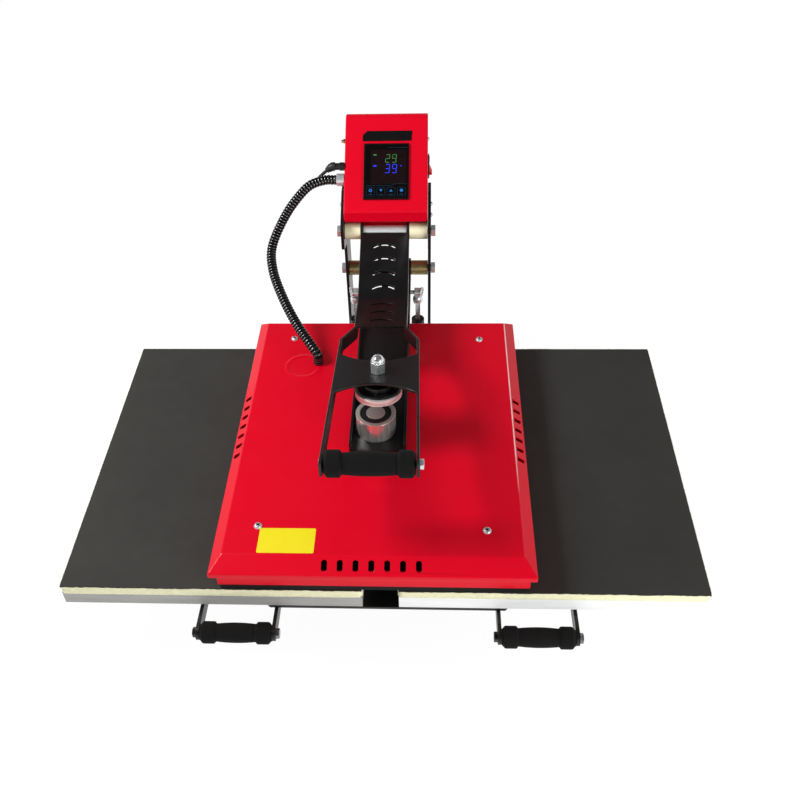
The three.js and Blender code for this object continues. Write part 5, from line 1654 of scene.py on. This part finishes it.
    def build(self) -> None:
        """Builds both tables and what carries them."""
        # Both plates are the same aluminium, painted darker on the left as painted shade and paler on the
        # right as painted light.
        plates = (TABLE_SHADED, TABLE_LIT)
        each = zip(Side, (11, 12), self.droop, plates, self.bracket_middles)
        for side, seed, droop, plate_finish, middle in each:
            self.pad(side)
            self.sponge(side, seed, droop)
            WorkedPart("table_plate_" + side.value, plate_finish, edge=0.8).build()
            self.bracket(side, middle)
        WorkedPart("carriage_plate", BLACK_PAINT, edge=0.8).build()
        for end in End:
            WorkedPart("table_rail_" + end.value, GROUND_STEEL, edge=0.6).build()


@dataclass
class HeadCover:
    """The heated head: platen, board and the folded red cover with its slots, screws and decal."""

    cover_top: float = 200.9
    fold: float = 1.6
    slot_radius: float = 3.2
    slot_bottom: float = 0.1895
    slots_rounded_to: float = 0.1
    # Where the painted highlight on the right fold lies.
    highlight_from_x: float = 0.12
    highlight_from_z: float = 0.198
    highlight_slopes: tuple[float, float] = (0.2, 0.57)
    ring_middle: tuple[float, float] = (-133.0, 380.5)
    ring_radius: float = 25.5
    ring_profile: Outline = (
        (-5.0, -0.3), (-4.0, 0.02), (-2.4, 0.35), (-0.8, 0.75), (0.8, 0.75), (2.4, 0.35), (4.0, 0.02),
        (5.0, -0.3),
    )
    ring_sides: int = 72
    screw_radius: float = 5.6
    screw_spots: Outline = ((-154.0, 449.0), (142.0, 447.0), (-160.0, 55.0), (138.5, 51.0))
    decal_centre: tuple[float, float] = (-120.0, 31.5)
    decal_size: Triple = (73.5, 41.0, 0.25)
    decal_corner: float = 2.0
    decal_lift: float = 0.02

    def is_slot_corner(self, middle: Vector, along: Vector) -> bool:
        """Whether an edge is the corner of a front or left slot through the sloping band of the cover."""
        inside = self.slot_bottom < middle.z < self.cover_top * MM - 0.001
        return inside and abs(along.z) > 0.5 and middle.x < self.slots_rounded_to

    def is_fold_highlight(self, place: Vector, normal: Vector) -> bool:
        """Whether a face belongs to the long upper fold on the right, which carries a painted highlight.

        Args:
            place: The face's middle.
            normal: The way it faces.

        Returns:
            Whether it does.
        """
        least, most = self.highlight_slopes
        on_edge = place.x > self.highlight_from_x and place.z > self.highlight_from_z
        return on_edge and least < normal.x < most and normal.z > 0.8

    def cover(self) -> None:
        """The red cover, with rounded folds and slot ends, and a painted highlight on its right upper fold.
        """
        WorkedPart(
            "head_cover", RED_PAINT, edge=self.fold, fine_edge=0.35, rounding=3,
            regions=((RED_FOLD_HIGHLIGHT, self.is_fold_highlight),), corner=self.is_slot_corner,
            corner_radius=self.slot_radius,
        ).build()

    def pressed_ring(self) -> None:
        """The shallow pressed ring on top of the cover."""
        x, y = self.ring_middle
        build = bmesh.new()
        rings = []
        for out, up in self.ring_profile:
            corners = circle(self.ring_radius + out, self.ring_sides)
            rings.append([build.verts.new(at(x + dx, y + dy, self.cover_top + up)) for dx, dy in corners])
        for low, high in zip(rings, rings[1:] + rings[:1]):
            bridge(build, low, high)
        fit_piece("cover_pressed_ring", plain_mesh("ring", build, 60.0), "head", "red_paint", [RED_PAINT])

    def decal(self) -> None:
        """The blank yellow decal near the front left screw."""
        width, height, thickness = (size * MM for size in self.decal_size)
        build = plate(rounded(width, height, self.decal_corner * MM), 0.0, thickness)
        set_down(build, at(*self.decal_centre, self.cover_top + self.decal_lift))
        fit_piece("blank_cover_decal", plain_mesh("decal", build), "head", "red_paint", [DECAL])

    def build(self) -> None:
        """Builds the head's box."""
        self.cover()
        self.pressed_ring()
        self.decal()
        WorkedPart("heating_platen", PLATEN_COAT, edge=0.8).build()
        # The board's near-black colour is painted shade inside the cover.
        WorkedPart("insulation_board", BOARD_PAINTED_SHADE, edge=0.5).build()
        up = Vector((0.0, 0.0, 1.0))
        spots = enumerate(self.screw_spots)
        places = [(at(x, y, self.cover_top), up, 0.4 + index) for index, (x, y) in spots]
        PanScrews("cover_screws", self.screw_radius, "head", places).build()


@dataclass
class Latch:
    """The magnet in the head arm, and the lever with its armature."""

    shaft_y: float = 570.0
    shaft_z: float = 327.0
    raise_angle: float = math.radians(6.65)
    disc_top: float = 247.9
    stepped_radius: float = 29.4
    shell_radius: float = 26.0
    fork_half: float = 36.0
    grip_bolts_x: float = 61.7
    grip_bolts_before: float = -0.25

    def lowered(self, place: Vector) -> Vector:
        """Where a place of the raised lever is when the lever is latched."""
        pivot = at(HEAD_X, self.shaft_y, self.shaft_z)
        return pivot + Matrix.Rotation(self.raise_angle, 3, "X") @ (place - pivot)

    def is_stepped_top(self, place: Vector, normal: Vector) -> bool:
        """Whether a face of the armature belongs to its black stepped top.

        Args:
            place: The face's middle.
            normal: The way it faces; not used.

        Returns:
            Whether it does.
        """
        flat = self.lowered(place)
        away = math.hypot(flat.x - ARMATURE_X, flat.y - LATCHED_Y)
        return away < self.stepped_radius * MM and flat.z > self.disc_top * MM

    def is_pot_side(self, place: Vector, normal: Vector) -> bool:
        """Whether a face belongs to the upright side of the magnet's shell."""
        away = math.hypot(place.x - MAGNET_X, place.y - MAGNET_Y)
        return abs(normal.z) < 0.4 and away > self.shell_radius * MM

    def is_fork_edge(self, place: Vector, normal: Vector) -> bool:
        """Whether a face belongs to the upper edges of the fork's side plates, which carry a painted
        highlight.
        """
        return normal.z > 0.75 and abs(place.x - MIDDLE_X) > self.fork_half * MM

    def is_lever_bolt(self, place: Vector, normal: Vector) -> bool:
        """Whether a face of the lever belongs to the bolts of its grip."""
        near = place.y < self.grip_bolts_before
        return near and abs(place.x - MIDDLE_X) > self.grip_bolts_x * MM

    def build(self) -> None:
        """Builds the arm, the magnet, the lever and what links them."""
        black_top, shell = (BLACK_OXIDE_AND_SHADE, self.is_stepped_top), (POT_SIDE, self.is_pot_side)
        lever = (ZINC, self.is_lever_bolt), (BLACK_EDGE_HIGHLIGHT, self.is_fork_edge)
        for node, finish, edge, regions in (
            ("head_arm", BLACK_PAINT, 0.7, ()),
            ("magnet_pot", TURNED_STEEL, 0.5, (shell,)),
            ("magnet_coil", WINDING_RESIN, 0.3, ()),
            ("armature_disc", TURNED_ARMATURE, 0.5, (black_top,)),
            ("acorn_nut", ACORN_ZINC, 0.5, ()),
            ("lever_frame", BLACK_PAINT, 1.0, lever),
            ("crank_sleeve", SLEEVE_ZINC, 0.4, ()),
            ("lift_link", BLACK_PAINT, 0.5, ()),
        ):
            WorkedPart(node, finish, edge=edge, regions=regions).build()


@dataclass
class FrameAndUprights:
    """The base, the uprights with their shafts, and the gas springs."""

    stud_half: float = 66.5
    spring_place: Triple = (52.0, 545.0, 224.0)
    socket_profile: Outline = (
        (4.2, -21.0), (7.0, -20.2), (8.2, -17.0), (8.2, -11.5), (6.6, -7.6), (4.4, -5.2),
    )
    clip_profile: Outline = ((7.6, 0.0), (9.0, 0.0), (9.0, 1.6), (7.6, 1.6), (7.6, 0.02))
    clip_tilt: float = 0.35
    clip_out: float = 5.6

    def is_stud(self, place: Vector, normal: Vector) -> bool:
        """Whether a face of an upright belongs to its bright stud for the gas spring."""
        return abs(place.x - FRAME_X) < self.stud_half * MM

    def spring_clip(self, side: Side) -> None:
        """The ball socket and the wire clip of a gas spring's upper end.

        Args:
            side: Which spring.
        """
        turn = Matrix.Rotation(side.sign * math.pi / 2, 3, "Y") @ Matrix.Rotation(self.clip_tilt, 3, "X")
        wire = set_down(turned(self.clip_profile, 28), (side.sign * self.clip_out, 0.0, 0.0), turn)
        x, y, z = self.spring_place
        build = joined([turned(self.socket_profile, 24), wire])
        set_down(build, at(HEAD_X + side.sign * x, y, z), scale=MM)
        mesh = plain_mesh("clip", build, 50.0)
        fit_piece("gas_rod_clip_" + side.value, mesh, "rod_" + side.value, "zinc", [ZINC])

    def build(self) -> None:
        """Builds all that stands still, apart from the control box."""
        for side in Side:
            WorkedPart("base_rail_" + side.value, BLACK_PAINT, edge=2.0, rounding=3).build()
            WorkedPart(
                "upright_" + side.value, BLACK_PAINT, edge=0.7, regions=((ZINC, self.is_stud),)
            ).build()
            for node, finish, edge in (
                ("top_bush_", NYLON, 0.6), ("lower_bush_", BRONZE, 0.5), ("gas_cylinder_", BLACK_PAINT, 0.6),
                ("gas_rod_", ZINC, 0.4),
            ):
                WorkedPart(node + side.value, finish, edge=edge).build()
            self.spring_clip(side)
            for end in End:
                WorkedPart(f"foot_{end.value}_{side.value}", RUBBER, edge=1.5, rounding=3).build()
        for end in End:
            WorkedPart("base_cross_" + end.value, BLACK_PAINT, edge=2.0, rounding=3).build()
            WorkedPart("rail_runner_" + end.value, GROUND_STEEL, edge=0.6).build()
        for shaft in ("top_shaft", "lower_shaft"):
            WorkedPart(shaft, ZINC, edge=0.5).build()


@dataclass
class Display:
    """The marks of the display and the badge above it, drawn in millimetres on the sloping panel."""

    panel_y: float = 558.0
    panel_z: float = 369.0
    slope: float = math.radians(35.0)
    display_up: float = 68.0
    shift: float = 2.5
    glass: float = 3.3
    digit_slant: float = 0.08
    digit_pitch: float = 1.72
    bar_share: float = 0.15
    bar_inset: float = 0.62
    bar_tip: float = 0.14
    bar_levels: tuple[float, float] = (0.04, 0.14)
    mark_levels: tuple[float, float] = (0.02, 0.1)
    field_middle: tuple[float, float] = (3.5, 7.0)
    field_size: Triple = (56.0, 59.0, 1.5)
    field_lift: float = 0.015
    key_places: Sequence[float] = (-24.5, -8.0, 8.0, 24.5)
    key_y: float = -35.5
    sign_y: float = -33.2
    key_frame: Sequence[Triple] = ((13.0, 15.0, 2.0), (12.4, 14.4, 1.7))
    fine_lines: Sequence[Outline] = (
        ((2.0, 40.1), (33.0, 40.1), (33.0, 40.5), (2.0, 40.5)),
        ((-31.0, -25.2), (10.0, -25.2), (12.5, -22.4), (33.0, -22.4), (33.0, -22.0), (12.3, -22.0),
         (9.8, -24.8), (-31.0, -24.8)),
    )
    sign_radii: tuple[float, float] = (2.7, 1.3)
    down_sign: Outline = ((-5.4, -31.2), (-8.0, -35.6), (-10.6, -31.2))
    up_sign: Outline = ((5.4, -35.4), (10.6, -35.4), (8.0, -31.0))
    badge_outline: Outline = (
        (-38.5, 53.5), (39.5, 53.5), (39.5, 63.0), (41.0, 71.0), (-31.5, 71.0), (-38.5, 64.0),
    )
    badge_levels: tuple[float, float] = (0.05, 0.9)

    def on_panel(self, build: Build) -> Build:
        """Places a build on the panel: X across, Y up the slope, Z out of it.

        Args:
            build: The build, in millimetres from the display's middle.

        Returns:
            The same build in the frame of the solids.
        """
        up = Vector((0.0, math.cos(self.slope), math.sin(self.slope)))
        out = Vector((0.0, -math.sin(self.slope), math.cos(self.slope)))
        origin = at(HEAD_X + self.shift, self.panel_y, self.panel_z) + up * self.display_up * MM
        for vertex in build.verts:
            x, y, z = vertex.co
            vertex.co = origin + (Vector((x, 0.0, 0.0)) + up * y + out * z) * MM
        return build

    def show(self, name: str, finish: Finish, parts: Sequence[Build]) -> None:
        """Puts some flat marks on the display as one piece."""
        fit_piece(name, plain_mesh(name, self.on_panel(joined(parts))), "base", "glass", [finish])

    def segments(self, digit: str, x: float, y: float, width: float, height: float) -> list[Build]:
        """The lit bars of one seven-bar digit.

        Args:
            digit: The digit.
            x: Its middle across the panel.
            y: Its middle up the panel.
            width: Its width.
            height: Its height.

        Returns:
            One plate for each lit bar.
        """
        lit = {"2": "abged", "3": "abgcd", "9": "abcdfg"}[digit]
        thick = width * self.bar_share
        w, h = width / 2, height / 2
        bars = {
            "a": ((-w, h), (w, h)), "b": ((w, h), (w, 0)), "c": ((w, 0), (w, -h)), "d": ((-w, -h), (w, -h)),
            "e": ((-w, 0), (-w, -h)), "f": ((-w, h), (-w, 0)), "g": ((-w, 0), (w, 0)),
        }
        low, high = (self.glass + level for level in self.bar_levels)
        made = []
        for name in lit:
            start, end = (Vector(corner) for corner in bars[name])
            along = (end - start).normalized()
            side = Vector((-along.y, along.x)) * thick / 2
            inset, tip = along * thick * self.bar_inset, along * thick * self.bar_tip
            points = [
                start + tip, start + inset - side, end - inset - side, end - tip, end - inset + side,
                start + inset + side,
            ]
            made.append(plate([(x + p.x + p.y * self.digit_slant, y + p.y) for p in points], low, high))
        return made

    def number(
        self, name: str, light: Finish, digits: str, x: float, y: float, width: float, height: float
    ) -> None:
        """Two digits of the display as one lit piece.

        Args:
            name: Name of the piece.
            light: Its finish.
            digits: The two digits.
            x: Their middle across the panel.
            y: Their middle up the panel.
            width: Width of a digit.
            height: Height of a digit.
        """
        parts = []
        for index, digit in enumerate(digits):
            away = (index - 0.5) * width * self.digit_pitch
            parts += self.segments(digit, x + away, y, width, height)
        self.show(name, light, parts)

    def frame_of(self, x: float, y: float, outer: Outline, inner: Outline) -> Build:
        """A flat frame between two outlines of equal count.

        Args:
            x: Its middle across the panel.
            y: Its middle up the panel.
            outer: Its outer outline.
            inner: Its inner outline.

        Returns:
            The frame's faces.
        """
        low, high = (self.glass + level for level in self.mark_levels)
        build = bmesh.new()
        loops = []
        for outline, level in ((outer, low), (outer, high), (inner, high), (inner, low)):
            loops.append([build.verts.new((x + px, y + py, level)) for px, py in outline])
        for here, there in zip(loops, loops[1:] + loops[:1]):
            bridge(build, here, there)
        return build

    def mark(self, outline: Outline) -> Build:
        """A flat mark on the glass."""
        low, high = self.mark_levels
        return plate(outline, self.glass + low, self.glass + high)

    def marks(self) -> None:
        """The display's field, lines, key frames and key signs."""
        width, height, corner = self.field_size
        x, y = self.field_middle
        outline = [(x + px, y + py) for px, py in rounded(width, height, corner)]
        self.show("display_field", LCD_WINDOW, [plate(outline, 0.05, self.glass + self.field_lift)])
        dim = [self.mark(outline) for outline in self.fine_lines]
        for x in self.key_places:
            frame_loops = [rounded(*size, 4) for size in self.key_frame]
            dim.append(self.frame_of(x, self.key_y, *frame_loops))
            dim.append(self.mark(bar(x - 3.0, -40.4, x + 3.0, -39.6)))
        self.show("display_lines", DIM_LIGHT, dim)
        disc, hole = (circle(radius, 20) for radius in self.sign_radii)
        dot = [(self.key_places[-1] + x, self.sign_y + y) for x, y in disc]
        self.show("display_key_signs", CYAN_LIGHT, [
            self.frame_of(self.key_places[0], self.sign_y, disc, hole), self.mark(self.down_sign),
            self.mark(self.up_sign), self.mark(dot),
        ])
        self.show("display_mark_green", GREEN_LIGHT, [self.mark(bar(-20.6, 26.6, -15.6, 28.8))])
        blue = (bar(-20.6, 7.7, -15.6, 9.9), bar(22.6, 7.9, 24.2, 9.7))
        self.show("display_mark_blue", BLUE_LIGHT, [self.mark(outline) for outline in blue])

    def badge(self) -> None:
        """The blank badge above the display, with its front edges broken."""
        build = self.on_panel(plate(self.badge_outline, *self.badge_levels))
        edges = [edge for edge in build.edges if edge.calc_length() > 0.004]
        bmesh.ops.bevel(build, geom=edges, offset=0.00025, segments=2, affect="EDGES", clamp_overlap=True)
        fit_piece("blank_badge_plate", plain_mesh("badge", build), "base", "plastic", [BADGE])

    def build(self) -> None:
        """Draws the badge, the marks and both numbers."""
        self.badge()
        self.marks()
        self.number("display_number_green", GREEN_LIGHT, "29", 7.3, 21.4, 6.1, 13.4)
        self.number("display_number_blue", BLUE_LIGHT, "39", 7.4, 4.0, 6.4, 14.4)


@dataclass
class ControlBox:
    """The folded red box with its display, switch, glands and rear cover."""

    gland_sides: int = 36
    gland_ribs: int = 4
    rib_pitch: float = 0.2
    pin_spots: Outline = ((14.0, 388.0), (23.0, 382.5), (32.0, 388.0))
    pin_half: tuple[float, float] = (1.0, 2.2)
    pin_ends: tuple[float, float] = (700.5, 711.0)
    stud_place: Triple = (-73.5, 662.5, 436.5)
    nut_profile: Outline = ((4.0, -0.4), (4.0, 2.6), (3.5, 3.0))
    stud_profile: Outline = ((2.4, 2.9), (2.4, 5.6), (1.9, 6.2))
    side_screw: Triple = (59.3, 664.8, 437.6)
    upright_screw_x: tuple[float, float] = (64.6, -78.8)
    upright_screw_y: float = 588.0
    upright_screw_rows: tuple[tuple[float, float], ...] = ((365.0, 0.3), (345.0, 0.9))
    rear_face: float = 712.73
    rear_screws: tuple[tuple[float, float], tuple[float, float]] = ((-66.0, 50.0), (358.0, 442.0))

    def gland(self) -> None:
        """The ribbed metal gland of the hose."""
        low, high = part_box("hose_gland")
        radius, length = (high.z - low.z) / 2, high.x - low.x
        profile = [(0.86, 0.0), (0.96, 0.05)]
        for k in range(self.gland_ribs):
            start = 0.08 + self.rib_pitch * k
            profile += [(0.98, start), (0.98, start + 0.12), (0.9, start + 0.14), (0.9, start + 0.18)]
        profile += [(0.98, 0.9), (0.98, 1.0)]
        build = turned([(radius * r, length * z) for r, z in profile], self.gland_sides)
        middle = (low + high) / 2
        set_down(build, (high.x, middle.y, middle.z), Matrix.Rotation(-math.pi / 2, 3, "Y"))
        for vertex in build.verts:
            vertex.co.x = min(high.x, max(low.x, vertex.co.x))
        fit_piece("hose_gland_ribbed", plain_mesh("gland", build, 30.0), "base", "zinc", [ZINC], "hose_gland")

    def inlet_pins(self) -> None:
        """The three flat pins in the mains inlet."""
        half_x, half_z = self.pin_half
        front, rear = self.pin_ends
        pins = []
        for x, z in self.pin_spots:
            low, high = at(x - half_x, front, z - half_z), at(x + half_x, rear, z + half_z)
            pin = plate(bar(low.x, low.y, high.x, high.y), low.z, high.z)
            bmesh.ops.bevel(pin, geom=pin.edges[:], offset=0.0004, segments=1, affect="EDGES")
            pins.append(pin)
        fit_piece("inlet_pins", plain_mesh("pins", joined(pins)), "base", "plastic", [BRASS_PIN])

    def side_stud(self) -> None:
        """The proud stud with its nut on the left wall of the box."""
        build = joined([turned(self.nut_profile, 6), turned(self.stud_profile, 20)])
        set_down(build, at(*self.stud_place), Matrix.Rotation(-math.pi / 2, 3, "Y"), MM)
        fit_piece("box_side_stud", plain_mesh("stud", build, 30.0), "base", "zinc", [BRASS_PIN])

    def screws(self) -> None:
        """Small screws of the box, the uprights and the rear cover."""
        right, back = Vector((1.0, 0.0, 0.0)), Vector((0.0, 1.0, 0.0))
        uprights = [
            (at(x, self.upright_screw_y, z), right * math.copysign(1.0, x), spin)
            for x in self.upright_screw_x for z, spin in self.upright_screw_rows
        ]
        columns, rows = self.rear_screws
        rear = [(at(x, self.rear_face, z), back, x) for x in columns for z in rows]
        for name, radius, places in (
            ("box_side_screw", 3.4, [(at(*self.side_screw), right, 0.2)]),
            ("upright_screws", 3.6, uprights),
            ("rear_cover_screws", 3.0, rear),
        ):
            PanScrews(name, radius, "base", places).build()

    def build(self) -> None:
        """Builds the box and all that is on it."""
        WorkedPart("control_box_shell", RED_PAINT, edge=2.2, fine_edge=0.35, rounding=4).build()
        for node, finish, edge, fine_edge in (
            ("control_box_rear_cover", BLACK_PAINT, 0.5, 0.25),
            ("power_inlet", BLACK_PLASTIC, 0.6, 0.25),
            ("heater_relay", BLACK_PLASTIC, 0.6, 0.25),
            ("display_module", DISPLAY_CASE, 0.6, 0.25),
            ("display_glass", GLASS, 0.2, 0.1),
            ("rocker_bezel", BLACK_PLASTIC, 0.5, 0.25),
            ("rocker_switch", RED_PLASTIC, 0.5, 0.25),
            ("lead_gland", BLACK_PLASTIC, 0.5, 0.25),
        ):
            WorkedPart(node, finish, edge=edge, fine_edge=fine_edge).build()
        self.gland()
        Display().build()
        self.inlet_pins()
        self.side_stud()
        self.screws()


def main() -> None:
    """Builds the scene in order: camera, cords, main pieces, small pieces and studio."""
    logging.basicConfig(level=logging.INFO, format="%(message)s")
    for part in (
        PhotoCamera(), HeaterHose(), PressTables(), HeadCover(), Latch(), FoamGrips(), FrameAndUprights(),
        ControlBox(), Studio(),
    ):
        part.build()


if __name__ == "__main__":
    main()
